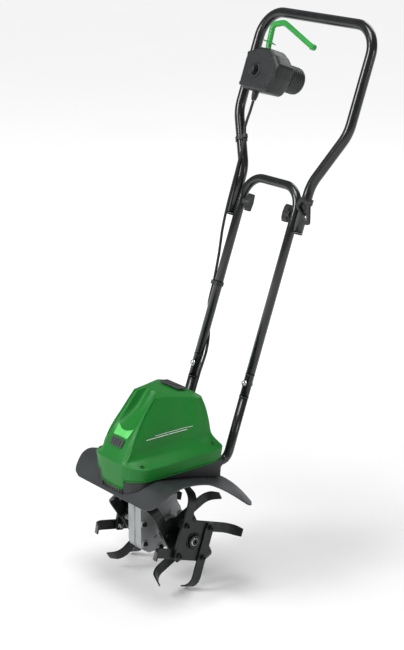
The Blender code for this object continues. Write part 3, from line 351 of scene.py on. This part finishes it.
# ---- motor cover -------------------------------------------------------------------------------
SKIRT_LOW = [(0, -0.0965, 0.2020), (0.020, -0.0963, 0.2020), (0.0350, -0.0945, 0.2022),
             (0.0385, -0.0940, 0.2200), (0.058, -0.0880, 0.2235), (0.078, -0.0720, 0.2260),
             (0.0850, -0.040, 0.2275), (0.095, 0.030, 0.2325), (0.1030, 0.093, 0.2395),
             (0.0990, 0.1060, 0.2410), (0.060, 0.1080, 0.2415), (0, 0.1085, 0.2415)]
CREST = [(0, -0.0985, 0.2560), (0.020, -0.0985, 0.2560), (0.0350, -0.0980, 0.2565),
         (0.0400, -0.0975, 0.2565), (0.060, -0.0905, 0.2540), (0.0800, -0.0730, 0.2520),
         (0.0870, -0.040, 0.2530), (0.0970, 0.030, 0.2595), (0.1060, 0.095, 0.2655),
         (0.1030, 0.1075, 0.2665), (0.062, 0.1095, 0.2670), (0, 0.1100, 0.2670)]
SHELF = [(0, -0.0960, 0.2610), (0.020, -0.0960, 0.2610), (0.0350, -0.0950, 0.2615),
         (0.0440, -0.0915, 0.2620), (0.0510, -0.080, 0.2640), (0.0560, -0.060, 0.2680),
         (0.0610, -0.035, 0.2720), (0.0750, 0.030, 0.2830), (0.0885, 0.082, 0.2900),
         (0.0850, 0.0940, 0.2910), (0.050, 0.0955, 0.2910), (0, 0.0960, 0.2910)]
WAIST = [(0, -0.0715, 0.3025), (0.020, -0.0720, 0.3025), (0.0340, -0.0725, 0.3025),
         (0.0420, -0.0690, 0.3035), (0.0465, -0.058, 0.3050), (0.0510, -0.042, 0.3065),
         (0.0565, -0.018, 0.3095), (0.0700, 0.036, 0.3160), (0.0825, 0.079, 0.3205),
         (0.0790, 0.0910, 0.3210), (0.047, 0.0930, 0.3215), (0, 0.0935, 0.3220)]
SCOOP = [(0, -0.0235, 0.3450), (0.0150, -0.0240, 0.3450), (0.0260, -0.0395, 0.3450),
         (0.0350, -0.0400, 0.3450), (0.0400, -0.0310, 0.3455), (0.0445, -0.0170, 0.3460),
         (0.0510, 0.0010, 0.3465), (0.0625, 0.042, 0.3475), (0.0750, 0.076, 0.3485),
         (0.0715, 0.0880, 0.3490), (0.043, 0.0900, 0.3495), (0, 0.0905, 0.3500)]
BROW = [(0, 0.0010, 0.3755), (0.0160, 0.0040, 0.3765), (0.0250, -0.0125, 0.3780),
        (0.0330, -0.0120, 0.3785), (0.0370, -0.0040, 0.3785), (0.0410, 0.0080, 0.3780),
        (0.0470, 0.0220, 0.3765), (0.0580, 0.0490, 0.3735), (0.0680, 0.0730, 0.3690),
        (0.0640, 0.0840, 0.3680), (0.038, 0.0865, 0.3695), (0, 0.0870, 0.3700)]
LID = [(0, 0.0060, 0.3825), (0.0135, 0.0090, 0.3825), (0.0215, 0.0030, 0.3830),
       (0.0260, 0.0050, 0.3830), (0.0300, 0.0120, 0.3828), (0.0335, 0.0200, 0.3825),
       (0.0380, 0.0300, 0.3820), (0.0490, 0.0510, 0.3795), (0.0570, 0.0680, 0.3760),
       (0.0530, 0.0760, 0.3745), (0.032, 0.0785, 0.3755), (0, 0.0790, 0.3760)]
COVER_LEVELS = (SKIRT_LOW, CREST, SHELF, WAIST, SCOOP, BROW, LID)
COVER_SCREWS = ((0.0700, -0.0720), (0.0960, 0.0860))
LABEL_LOW, LABEL_HIGH, LABEL_RISE = 0.3010, 0.3120, 0.0075
LABEL_HALF, LABEL_FLARE = 0.0225, 0.0030
SIDE_BARS = ((0.0, 0.0016, -0.046, 0.040), (0.0044, 0.0054, -0.028, 0.052))
BAR_FOOT, BAR_SLOPE = 0.3000, 0.115
OUTSIDE = 0.16


def smooth_line(points, steps, sharp=()):
    """A curve through the points, straight-sided at the sharp ones."""
    count = len(points)
    slopes = []
    for i in range(count):
        if i in sharp or i in (0, count - 1):
            slopes.append(None)
            continue
        before, after = points[i] - points[i - 1], points[i + 1] - points[i]
        h0, h1 = max(before.length, 1e-6), max(after.length, 1e-6)
        slopes.append((before / h0 * h1 + after / h1 * h0) / (h0 + h1))
    line = []
    for i in range(count - 1):
        a, b = points[i], points[i + 1]
        span = b - a
        size = span.length
        ma = slopes[i] * size if slopes[i] else span
        mb = slopes[i + 1] * size if slopes[i + 1] else span
        for k in range(steps):
            t = k / steps
            line.append(a * (2 * t ** 3 - 3 * t ** 2 + 1) + ma * (t ** 3 - 2 * t ** 2 + t)
                        + b * (3 * t ** 2 - 2 * t ** 3) + mb * (t ** 3 - t ** 2))
    return line + [points[-1]]


def cover_grid():
    """The cover's outer face as columns of points: half of it, from front middle to rear middle."""
    rows = []
    for level in COVER_LEVELS:
        creased = () if level is CREST else (2, 3)
        rows.append(smooth_line([at(*p) for p in level], 4, creased))
    return [smooth_line([row[i] for row in rows], 5, (0, 1, 5)) for i in range(len(rows[0]))]


def build_cover(looks):
    """The moulded cover: scooped front between two ridges, rolled crest and closed lid."""
    columns = cover_grid()
    mirrored = [[Vector((-p.x, p.y, p.z)) for p in column] for column in columns[-2:0:-1]]
    ring = columns + mirrored
    high = len(ring[0])
    verts = [p for column in ring for p in column]
    faces = []
    for i in range(len(ring)):
        j = (i + 1) % len(ring)
        for k in range(high - 1):
            faces.append((i * high + k, j * high + k, j * high + k + 1, i * high + k + 1))
    top = len(verts)
    verts.append(sum((column[-1] for column in ring), Vector()) / len(ring) + UP * 0.0006)
    for i in range(len(ring)):
        faces.append((i * high + high - 1, ((i + 1) % len(ring)) * high + high - 1, top))
    cover = piece("cover_shell", verts, faces, looks["green"], "chassis", "green_plastic", 0.0016)
    cover.modifiers["bevel"].angle_limit = math.radians(24)
    cover.modifiers["bevel"].segments = 3
    shell = cover.modifiers.new("wall", "SOLIDIFY")
    shell.thickness = 0.0024
    shell.offset = -1.0
    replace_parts(cover, "motor_cover")
    tree = BVHTree.FromPolygons(verts, faces)
    ridge_parts = ([], [])
    for side in (1, -1):
        line = [Vector((side * p.x, p.y, p.z)) for p in columns[12][12:-2]]
        last = len(line) - 1
        radii = [0.0003 + 0.0015 * math.sin(math.pi * min(1.0, 3.0 * min(k, last - k) / last) / 2)
                 for k in range(last + 1)]
        sweep(ridge_parts, line, radii, 10)
    piece("cover_ridges", *ridge_parts, looks["green"], "chassis", "green_plastic")
    seam = ([], [])
    low = [column[0] + UP * 0.0004 for column in ring] + [ring[0][0] + UP * 0.0004]
    sweep(seam, low, [0.0009] * len(low), 8)
    piece("cover_lip", *seam, looks["green"], "chassis", "green_plastic")
    return tree


def build_cover_screws(looks, tree):
    """Sunk screws along the cover's shelf, in raised rings."""
    rings, heads = ([], []), ([], [])
    for x, y in COVER_SCREWS:
        for side in (1, -1):
            spot = at(side * x, y, 0.40)
            hit, normal, _, _ = tree.ray_cast(spot, -UP)
            way = (normal if normal.z > 0 else -normal).lerp(UP, 0.5).normalized()
            lathe(rings, hit - way * 0.0010, way,
                  [(0.0052, 0.0), (0.0052, 0.0014), (0.0046, 0.0019), (0.0036, 0.0017),
                   (0.0033, 0.0006)], 24)
            lathe(heads, hit - way * 0.0002, way,
                  [(0.0032, 0.0), (0.0031, 0.0012), (0.0024, 0.0016), (0.0010, 0.0015),
                   (0.0008, 0.0008)], 16)
    piece("screw_rings", *rings, looks["green"], "chassis", "green_plastic")
    piece("screw_heads", *heads, looks["dark_steel"], "chassis", "steel")


def build_label(looks, tree):
    """A blank pale-green label in the scoop, with a concave top edge."""
    verts, faces = [], []
    across, high = 14, 6
    for k in range(high + 1):
        for i in range(across + 1):
            f = 2.0 * i / across - 1.0
            top = LABEL_HIGH + LABEL_RISE * f * f
            z = LABEL_LOW + (top - LABEL_LOW) * k / high
            x = (LABEL_HALF + LABEL_FLARE * k / high) * f
            hit = tree.ray_cast(at(x, -OUTSIDE, z), REARWARD)[0]
            verts.append(hit + Vector((0, -0.0007, 0.0004)))
    wide = across + 1
    for k in range(high):
        for i in range(across):
            a = k * wide + i
            faces.append((a, a + 1, a + wide + 1, a + wide))
    label = piece("blank_label", verts, faces, looks["label"], "chassis", "green_plastic")
    thick = label.modifiers.new("wall", "SOLIDIFY")
    thick.thickness = 0.0005


def build_side_bars(looks, tree):
    """Two plain slanted bars on each side of the cover."""
    verts, faces = [], []
    steps = 26
    for low, high, start, end in SIDE_BARS:
        for side in (1, -1):
            base = len(verts)
            for i in range(steps + 1):
                y = start + (end - start) * i / steps
                for z in (low, high):
                    height = BAR_FOOT + BAR_SLOPE * (y + 0.046) + z
                    hit = tree.ray_cast(at(side * OUTSIDE, y, height), ACROSS * -side)[0]
                    verts.append(hit + Vector((side * 0.0005, 0, 0.0001)))
            for i in range(steps):
                a = base + 2 * i
                faces.append((a, a + 2, a + 3, a + 1))
    bars = piece("side_bars", verts, faces, looks["pale"], "chassis", "green_plastic")
    thick = bars.modifiers.new("wall", "SOLIDIFY")
    thick.thickness = 0.0003


def build_base_details(looks):
    """Cooling bars on the housing's front and sides and a grommet round the cable."""
    bars = ([], [])
    for k in range(9):
        x = 0.0330 * (k - 4) / 4.0
        foot = at(x, -0.0955, 0.1905)
        path = [foot, foot + UP * 0.0020, foot + UP * 0.0085, foot + UP * 0.0100]
        sweep(bars, path, [0.0006, 0.0013, 0.0013, 0.0006], 8)
    for side in (1, -1):
        for k in range(7):
            y = -0.026 + 0.0135 * k
            x = side * (0.0866 + 0.001512 * k)
            foot = at(x, y, 0.2215 - 0.0006 * k)
            sweep(bars, [foot, foot + UP * 0.0015, foot + UP * 0.0065, foot + UP * 0.008],
                  [0.0005, 0.0011, 0.0011, 0.0005], 8)
    piece("housing_bars", *bars, looks["black"], "chassis", "black_plastic")
    grommets = ([], [])
    holes = ((-0.0640, 0.2290, 0.0031), (LOWER_X, 0.2270, LOWER_R), (-LOWER_X, 0.2270, LOWER_R))
    for x, z, r in holes:
        lathe_ring(grommets, at(x, 0.1085, z), REARWARD, r + 0.0006, r + 0.0030, 0.0040)
    piece("housing_grommets", *grommets, looks["rubber"], "chassis", "rubber")


# ---- rotors and gearbox ------------------------------------------------------------------------
CASTING_BOLTS = [(-0.0600, -0.0190), (-0.0620, 0.0250), (-0.0620, 0.0800), (0.0170, 0.0780),
                 (0.0330, 0.0230), (0.0210, -0.0310), (-0.0200, -0.0360)]
BOSS_RIB_RADII = (0.0285, 0.0310, 0.0375, 0.0395)
NOSE_R = 0.0423


def build_rotor_details(looks):
    """Cap bolts at the plates' corners, nuts behind them, and the rings on the shaft."""
    black, bright = ([], []), ([], [])
    rings, ends = ([], []), ([], [])
    stack = PLATE_T / 2 + BLADE_T + 0.0006
    for x, degrees in ROTORS.values():
        turn = math.radians(degrees)
        side = 1 if x > 0 else -1
        for a, b in ((1, 1), (1, -1), (-1, 1), (-1, -1)):
            y = BOLT_HALF * (a * math.cos(turn) - b * math.sin(turn))
            z = BOLT_HALF * (a * math.sin(turn) + b * math.cos(turn))
            spot = AXLE + Vector((x, y, z))
            heads = black if side > 0 else bright
            socket_bolt(heads, spot + ACROSS * side * stack, ACROSS * side)
            nut = spot - ACROSS * side * stack
            lathe(bright, nut, ACROSS * -side,
                  [(0.0066, 0.0), (0.0068, 0.0004), (0.0066, 0.0009)], 20)
            lathe(bright, nut - ACROSS * side * 0.0009, ACROSS * -side,
                  [(0.0054, 0.0), (0.0054, 0.0036), (0.0047, 0.0042)], 6)
        if abs(x) > 0.09:
            ring = AXLE + ACROSS * (x + side * 0.0002)
            lathe_ring(rings, ring, ACROSS * side, 0.0145, 0.0185, 0.0038, 32,
                       lambda i: 0.93 if i % 8 == 0 else 1.0)
            tip = AXLE + ACROSS * side * SHAFT_HALF
            lathe(ends, tip, ACROSS * side, [(0.0070, 0.0), (0.0068, 0.0003), (0.0030, 0.0003),
                                             (0.0026, -0.0010)], 24)
    piece("plate_bolts_black", *black, looks["dark_steel"], "tines", "steel", 0.0002)
    piece("plate_bolts_bright", *bright, looks["steel"], "tines", "steel", 0.0002)
    piece("plate_rings", *rings, looks["dark_steel"], "tines", "steel")
    piece("shaft_ends", *ends, looks["dark_steel"], "tines", "steel")


def build_gearbox_details(looks):
    """Bolted lugs round the casting, stiffening ribs, the split line and dark bearing bosses."""
    lugs, bolts, bosses = ([], []), ([], []), ([], [])
    for side in (1, -1):
        for y, z in CASTING_BOLTS:
            foot = AXLE + Vector((side * 0.0190, y, z))
            lathe(lugs, foot, ACROSS * side,
                  [(0.0085, 0.0), (0.0080, 0.0040), (0.0072, 0.0050)], 24)
            socket_bolt(bolts, foot + ACROSS * side * 0.0050, ACROSS * side, 0.0036, 0.0034)
        lathe_ring(bosses, AXLE + ACROSS * side * 0.0340, ACROSS * side, 0.0172, 0.0298, 0.0118, 36)
        for k in range(6):
            a = math.radians(60 * k + 20)
            way = Vector((0, math.cos(a), math.sin(a)))
            path = [AXLE + ACROSS * side * 0.0218 + way * r for r in BOSS_RIB_RADII]
            sweep(lugs, path, [0.0022, 0.0022, 0.0016, 0.0008], 10)
    piece("casting_lugs", *lugs, looks["cast"], "chassis", "cast_metal", 0.0003)
    piece("casting_bolts", *bolts, looks["dark_steel"], "chassis", "steel", 0.0002)
    piece("bearing_bosses", *bosses, looks["boss"], "chassis", "cast_metal")
    split = ([], [])
    line = [(-0.0692, 0.1000), (-0.0697, 0.0200), (-0.0702, -0.0170), (-0.0674, -0.0290),
            (-0.0505, -0.0415), (-0.0280, -0.0425)]
    line += [(NOSE_R * math.cos(math.radians(a)), NOSE_R * math.sin(math.radians(a)))
             for a in range(-100, 15, 10)]
    line += [(0.0332, 0.0400), (0.0243, 0.0560), (0.0243, 0.1000)]
    path = [AXLE + Vector((0, y, z)) for y, z in line]
    sweep(split, path, [0.0016] * len(path), 10)
    piece("casting_split", *split, looks["cast"], "chassis", "cast_metal")


# ---- mudguard ----------------------------------------------------------------------------------
GUARD_HEIGHT = [(-0.1015, 0.1860), (-0.090, 0.1965), (-0.080, 0.2060), (-0.065, 0.2180),
                (-0.050, 0.2235), (-0.025, 0.2215), (0.0, 0.2180), (0.030, 0.2145),
                (0.047, 0.2120), (0.080, 0.2050), (0.112, 0.1980)]
GUARD_WIDTH = [(-0.1015, 0.1120), (-0.097, 0.1280), (-0.090, 0.1370), (-0.080, 0.1430),
               (-0.065, 0.1480), (-0.046, 0.1480), (-0.025, 0.1390), (-0.003, 0.1330),
               (0.030, 0.1320), (0.047, 0.1360), (0.060, 0.1500), (0.075, 0.1720),
               (0.090, 0.1900), (0.100, 0.1970), (0.107, 0.1970), (0.112, 0.1900)]
OPENING_X, OPENING_Y = 0.0245, (-0.0430, 0.0540)
GUARD_FRONT, GUARD_LENGTH, GUARD_ROWS = -0.1015, 0.2135, 44
WING_X, WING_DROOP = 0.1000, 3.0


def smooth_table(table, y):
    """Read a table of (y, value) along a smooth curve through its rows."""
    line = smooth_line([Vector((a, b)) for a, b in table], 6)
    for p, q in zip(line, line[1:]):
        if y <= q.x:
            return p.y + (q.y - p.y) * max(y - p.x, 0.0) / max(q.x - p.x, 1e-6)
    return table[-1][1]


def build_guard(looks):
    """The mudguard as one thin bent sheet, drooping at its rear wings, open round the gearbox."""
    rows = {round(GUARD_FRONT + GUARD_LENGTH * k / GUARD_ROWS, 5) for k in range(GUARD_ROWS + 1)}
    ys = sorted(rows | set(OPENING_Y))
    shares = [k / 16 for k in range(1, 17)]
    verts, faces, cells = [], [], []
    for y in ys:
        half, height = smooth_table(GUARD_WIDTH, y), smooth_table(GUARD_HEIGHT, y)
        outer = [OPENING_X + (half - OPENING_X) * share for share in shares]
        xs = [-x for x in outer[::-1]] + [OPENING_X * (k / 3 - 1.0) for k in range(7)] + outer
        for x in xs:
            share = max(0.0, min(y, 0.1) / 0.1)
            droop = WING_DROOP * share * max(0.0, abs(x) - WING_X) ** 2
            verts.append(at(x, y, height - droop))
        cells.append(xs)
    wide = len(cells[0])
    for r in range(len(ys) - 1):
        inside_y = ys[r] >= OPENING_Y[0] - 1e-6 and ys[r + 1] <= OPENING_Y[1] + 1e-6
        for c in range(wide - 1):
            inside_x = abs(cells[r][c] + cells[r][c + 1]) / 2 < OPENING_X
            if not (inside_x and inside_y):
                a = r * wide + c
                faces.append((a, a + 1, a + wide + 1, a + wide))
    guard = piece("guard_sheet", verts, faces, looks["guard"], "chassis", "grey_plastic")
    wall = guard.modifiers.new("wall", "SOLIDIFY")
    wall.thickness = 0.0026
    wall.offset = -1.0
    soften(guard, 0.0008)
    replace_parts(guard, "mudguard")


def build_cable(frame, looks):
    """The cable, a copy of the CAD's cable node in the rubber finish."""
    cable = bpy.data.objects.new("cable_run", frame["nodes"]["power_cable"].data.copy())
    bpy.context.scene.collection.objects.link(cable)
    cable.data.materials.clear()
    cable.data.materials.append(looks["rubber"])
    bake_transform(cable)
    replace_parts(cable, "power_cable")


# ---- handle ------------------------------------------------------------------------------------
def rounded_path(points, radii, steps=14):
    """A line through points with each inner corner replaced by an arc."""
    path = [points[0].copy()]
    for here, before, after, radius in zip(points[1:-1], points, points[2:], radii):
        back, ahead = (before - here).normalized(), (after - here).normalized()
        half = back.angle(ahead) / 2.0
        centre = here + (back + ahead).normalized() * (radius / math.sin(half))
        start = here + back * (radius / math.tan(half)) - centre
        end = here + ahead * (radius / math.tan(half)) - centre
        turn = start.angle(end)
        for k in range(steps + 1):
            f = k / steps
            path.append(centre + start * (math.sin((1 - f) * turn) / math.sin(turn))
                        + end * (math.sin(f * turn) / math.sin(turn)))
    path.append(points[-1].copy())
    return path


def build_tubes(looks):
    """The bent tubes, round all the way through their bends."""
    half = [on_handle(UPPER_X, LOOP_END_S), on_handle(UPPER_X, FLARE_LOW_S),
            on_handle(LOOP_HALF, FLARE_HIGH_S), on_handle(LOOP_HALF, LOOP_TOP_S)]
    points = [Vector((-p.x, p.y, p.z)) for p in half] + half[::-1]
    path = rounded_path(points, LOOP_BENDS)
    parts = ([], [])
    sweep(parts, path, [UPPER_R] * len(path), TUBE_SIDES, lift=OUT)
    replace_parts(piece("loop_tube", *parts, looks["paint"], "upper_handle", "black_paint"),
                "handle_loop")
    points = [on_handle(-LOWER_X, 0.0003), on_handle(-LOWER_X, ARCH_S),
              on_handle(LOWER_X, ARCH_S), on_handle(LOWER_X, 0.0003)]
    path = rounded_path(points, ARCH_BENDS)
    parts = ([], [])
    sweep(parts, path, [LOWER_R] * len(path), TUBE_SIDES, lift=OUT)
    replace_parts(piece("arch_tube", *parts, looks["paint"], "chassis", "black_paint"), "frame_arch")
    for side, word in ((1, "left"), (-1, "right")):
        x = side * LOWER_X
        bend = on_handle(x, -0.1270) + Vector((0, 0.0015, 0.002))
        path = rounded_path([at(x, 0.0800, 0.2260), at(x, 0.1250, 0.2275), bend,
                             on_handle(x, -0.0003)], HOUSING_BENDS)
        parts = ([], [])
        sweep(parts, path, [LOWER_R] * len(path), TUBE_SIDES, lift=ACROSS)
        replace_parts(piece("housing_tube_" + word, *parts, looks["paint"], "chassis", "black_paint"),
                    "lower_tube_" + word)


def build_frame_details(looks):
    """Sleeve rings, washers and bolt heads on the lower tubes, and caps on the loop's ends."""
    rings, bright, caps = ([], []), ([], []), ([], [])
    for side in (1, -1):
        x = side * LOWER_X
        lathe_ring(rings, on_handle(x, -0.0012), ALONG, LOWER_R + 0.0001, LOWER_R + 0.0007, 0.0024)
        lathe_ring(rings, on_handle(x, 0.0465), ALONG, LOWER_R + 0.0001, LOWER_R + 0.0005, 0.0018)
        lathe_ring(bright, on_handle(x, SLEEVE_S, 0.0093), OUT, 0.0032, 0.0066, 0.0011)
        lathe(bright, on_handle(x, SLEEVE_S, 0.0128), OUT, [(0.0048, 0.0), (0.0040, 0.0012),
                                                            (0.0022, 0.0019)], 20)
    piece("sleeve_rings", *rings, looks["paint"], "chassis", "black_paint")
    piece("sleeve_bolt_heads", *bright, looks["steel"], "chassis", "steel")
    for side in (1, -1):
        x = side * UPPER_X
        lathe(caps, on_handle(x, 0.3525), -ALONG,
              [(UPPER_R + 0.0004, 0.0), (UPPER_R + 0.0003, 0.0020), (UPPER_R - 0.0015, 0.0034),
               (0.0030, 0.0037)])
        outer = on_handle(side * (UPPER_X + UPPER_R + 0.0002), PIVOT_S)
        lathe_ring(caps, outer, ACROSS * side, 0.0034, 0.0092, 0.0012)
    piece("loop_end_caps", *caps, looks["black"], "upper_handle", "black_plastic")


BOX_SCREWS = ((-0.1490, 0.6220), (-0.1480, 0.6860), (-0.0700, 0.6250), (-0.0790, 0.6830))
BOX_BEAD = ((-0.0985, 0.6260), (-0.0650, 0.6260), (-0.0590, 0.6420), (-0.0590, 0.6700),
            (-0.0760, 0.6880), (-0.0960, 0.6930))
BUTTON_TOP = 0.0250 + 0.0212
RIB_STEP = 0.0060


def build_box_details(looks):
    """Seam, edge beads, screws, cover ridge and button collar of the switch box."""
    beads, screws, hood = ([], []), ([], []), ([], [])
    bx, bs = BUTTON_AT
    lathe_ring(beads, on_handle(bx, bs, BOX_FRONT - 0.0002), OUT, 0.0100, 0.0150, 0.0022, 36)
    lathe_ring(beads, on_handle(bx, bs, BOX_FRONT + 0.0004), OUT, 0.0150, 0.0172, 0.0006, 36)
    for x, s in BOX_SCREWS:
        base = on_handle(x, s, BOX_FRONT - 0.0006)
        lathe_ring(beads, base, OUT, 0.0034, 0.0048, 0.0010, 24)
        lathe(screws, base - OUT * 0.0010, OUT, [(0.0032, 0.0), (0.0031, 0.0012), (0.0012, 0.0013),
                                                 (0.0009, 0.0006)], 16)
    path = smooth_line([on_handle(x, s, BOX_FRONT + 0.0001) for x, s in BOX_BEAD], 6)
    sweep(beads, path, tapered(len(path), 0.0004, 0.0006, 6.0), 8)
    piece("box_beads", *beads, looks["black"], "upper_handle", "black_plastic")
    piece("box_screws", *screws, looks["dark_steel"], "upper_handle", "steel")
    for k in range(5):
        rib = on_handle(*INLET_AT, BOX_BACK - 0.0060 - RIB_STEP * k)
        lathe_ring(hood, rib, -OUT, 0.0284, 0.0291, 0.0016, 40)
    piece("inlet_ribs", *hood, looks["black"], "upper_handle", "black_plastic")
    disc = ([], [])
    top = on_handle(bx, bs, BUTTON_TOP)
    lathe_ring(disc, top - OUT * 0.0003, OUT, 0.0052, 0.0076, 0.0008, 32)
    lathe(disc, top - OUT * 0.0002, OUT, [(0.0030, 0.0), (0.0027, 0.0006), (0.0012, 0.0009)], 20)
    piece("button_face", *disc, looks["black"], "button", "black_plastic")


LEVER_RIDGE = ((-0.0960, 0.7600), (-0.0860, 0.7600), (-0.0500, 0.7475), (-0.0020, 0.7295))
HOOK_RIBS = (((0.1330, 0.4140), (0.1440, 0.3850), 6), ((0.1060, 0.4225), (0.1290, 0.4150), 5))


def build_lever_details(looks):
    """Ribs on the lever's stem and a ridge along its arm."""
    ribs = ([], [])
    for k in range(5):
        s = 0.7190 + 0.0062 * k
        x = -0.1196 - 0.0006 * k
        ring = on_handle(x, s, 0.0120)
        lathe_ring(ribs, ring, ALONG * 0.99 - ACROSS * 0.10, 0.0038, 0.0062, 0.0018, 24)
    path = smooth_line([on_handle(x, s, 0.0168) for x, s in LEVER_RIDGE], 6)
    sweep(ribs, path, tapered(len(path), 0.0006, 0.0010, 5.0), 8)
    piece("lever_ribs", *ribs, looks["lever"], "lever", "lever_plastic")


def build_knob_and_hook_details(looks):
    """Grip ribs on the wing knobs and the hook's ribbed face."""
    for side, body in ((1, "knob_left"), (-1, "knob_right")):
        parts = ([], [])
        face = side * (LOWER_X - LOWER_R - 0.0006)
        for k in (-2, -1, 1, 2):
            for o in (1, -1):
                foot = on_handle(face - side * 0.0090, PIVOT_S + 0.0052 * k, o * 0.0050)
                tip = on_handle(face - side * 0.0215, PIVOT_S + 0.0052 * k, o * 0.0050)
                path = [foot.lerp(tip, t) for t in (0.0, 0.1, 0.9, 1.0)]
                sweep(parts, path, [0.0004, 0.0008, 0.0008, 0.0004], 8)
        cap = on_handle(face - side * 0.0180, PIVOT_S)
        lathe_ring(parts, cap, ACROSS * -side, 0.0036, 0.0054, 0.0012, 24)
        piece("knob_ribs_" + body[5:], *parts, looks["black"], body, "black_plastic")
    parts = ([], [])
    for a, b, count in HOOK_RIBS:
        for k in range(count):
            f = (k + 0.5) / count
            x, s = a[0] + (b[0] - a[0]) * f, a[1] + (b[1] - a[1]) * f
            way = Vector((b[0] - a[0], b[1] - a[1])).normalized()
            cross = ACROSS * -way.y + ALONG * way.x
            middle = on_handle(x, s, 0.0173)
            path = [middle + cross * c for c in (-0.0026, -0.0020, 0.0020, 0.0026)]
            sweep(parts, path, [0.0003, 0.0007, 0.0007, 0.0003], 8)
    piece("hook_ribs", *parts, looks["black"], "upper_handle", "black_plastic")


# ---- stage -------------------------------------------------------------------------------------
GLOW_NEAR, GLOW_FAR = (0.35, 0.12), (2.4, 0.66)
SOFT_LIGHT, BACKDROP_LIGHT = 0.27, 0.94
FLOOR_HALF = 30.0
AIM = Vector((0.0, 0.0, 0.45))
LAMPS = (("key", (-0.9, -2.6, 2.3), 1.2, 62.0), ("side", (3.0, 0.9, 1.6), 0.8, 12.0),
         ("top", (0.2, -0.5, 3.2), 1.2, 40.0), ("back", (-0.8, 2.6, 2.6), 1.6, 24.0))
CAMERA_AT = (2.67503, -1.99103 + BODY_Y, 1.57910 + LIFT)
CAMERA_AZIMUTH, CAMERA_PITCH = math.radians(51.512), math.radians(17.616)
SENSOR_HEIGHT, FOCAL_LENGTH = 36.0, 97.13


def floor_material():
    """Matt white floor that glows a little more away from the machine, like a lit backdrop."""
    mat = material("floor_pale", (0.84, 0.84, 0.84), (0.87, 0.87, 0.87), 0.75, mottle=2.0,
                   grain=300.0, relief=0.00002)
    tree = mat.node_tree
    shader = tree.nodes["Principled BSDF"]
    shader.inputs["Emission Color"].default_value = (1.0, 1.0, 1.0, 1.0)
    place = tree.nodes.new("ShaderNodeTexCoord")
    length = tree.nodes.new("ShaderNodeVectorMath")
    length.operation = "LENGTH"
    glow = tree.nodes.new("ShaderNodeMapRange")
    glow.inputs["From Min"].default_value = GLOW_NEAR[0]
    glow.inputs["From Max"].default_value = GLOW_FAR[0]
    glow.inputs["To Min"].default_value = GLOW_NEAR[1]
    glow.inputs["To Max"].default_value = GLOW_FAR[1]
    tree.links.new(place.outputs["Object"], length.inputs[0])
    tree.links.new(length.outputs["Value"], glow.inputs["Value"])
    tree.links.new(glow.outputs["Result"], shader.inputs["Emission Strength"])
    return mat


def studio_world():
    """Soft even light, with a white backdrop where the camera looks past the floor."""
    world = bpy.data.worlds.new("studio")
    world.use_nodes = True
    tree = world.node_tree
    soft = tree.nodes["Background"]
    soft.inputs["Color"].default_value = (1.0, 1.0, 1.0, 1.0)
    soft.inputs["Strength"].default_value = SOFT_LIGHT
    backdrop = tree.nodes.new("ShaderNodeBackground")
    backdrop.inputs["Color"].default_value = (1.0, 1.0, 1.0, 1.0)
    backdrop.inputs["Strength"].default_value = BACKDROP_LIGHT
    path = tree.nodes.new("ShaderNodeLightPath")
    mix = tree.nodes.new("ShaderNodeMixShader")
    tree.links.new(path.outputs["Is Camera Ray"], mix.inputs["Fac"])
    tree.links.new(soft.outputs["Background"], mix.inputs[1])
    tree.links.new(backdrop.outputs["Background"], mix.inputs[2])
    tree.links.new(mix.outputs["Shader"], tree.nodes["World Output"].inputs["Surface"])
    return world


def build_stage():
    """Pale floor, soft studio lights and the camera at the photo's angle."""
    scene = bpy.context.scene
    mesh = bpy.data.meshes.new("floor")
    corners = [(-1, -1), (1, -1), (1, 1), (-1, 1)]
    mesh.from_pydata([(FLOOR_HALF * x, FLOOR_HALF * y, 0) for x, y in corners], [], [(0, 1, 2, 3)])
    floor = bpy.data.objects.new("floor", mesh)
    scene.collection.objects.link(floor)
    mesh.materials.append(floor_material())
    scene.world = studio_world()
    for name, place, size, power in LAMPS:
        lamp = bpy.data.lights.new(name, "AREA")
        lamp.size = size
        lamp.energy = power
        obj = bpy.data.objects.new(name, lamp)
        obj.location = place
        obj.rotation_euler = (AIM - Vector(place)).to_track_quat("-Z", "Y").to_euler()
        scene.collection.objects.link(obj)
    flat = math.cos(CAMERA_PITCH)
    view = Vector((-math.sin(CAMERA_AZIMUTH) * flat, math.cos(CAMERA_AZIMUTH) * flat,
                   -math.sin(CAMERA_PITCH)))
    lens = bpy.data.cameras.new("camera")
    lens.sensor_fit = "VERTICAL"
    lens.sensor_height = SENSOR_HEIGHT
    lens.lens = FOCAL_LENGTH
    camera = bpy.data.objects.new("camera", lens)
    camera.location = CAMERA_AT
    camera.rotation_euler = view.to_track_quat("-Z", "Y").to_euler()
    scene.collection.objects.link(camera)
    scene.camera = camera
    scene.view_settings.view_transform = "Standard"


def main():
    """Load the frame, dress it and add the pieces."""
    for thing in list(bpy.data.objects):
        bpy.data.objects.remove(thing, do_unlink=True)
    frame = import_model()
    build_stage()
    looks = make_materials()
    dress_nodes(frame, looks)
    tree = build_cover(looks)
    build_cover_screws(looks, tree)
    build_label(looks, tree)
    build_side_bars(looks, tree)
    build_base_details(looks)
    build_rotor_details(looks)
    build_gearbox_details(looks)
    build_guard(looks)
    build_cable(frame, looks)
    build_tubes(looks)
    build_frame_details(looks)
    build_box_details(looks)
    build_lever_details(looks)
    build_knob_and_hook_details(looks)


main()
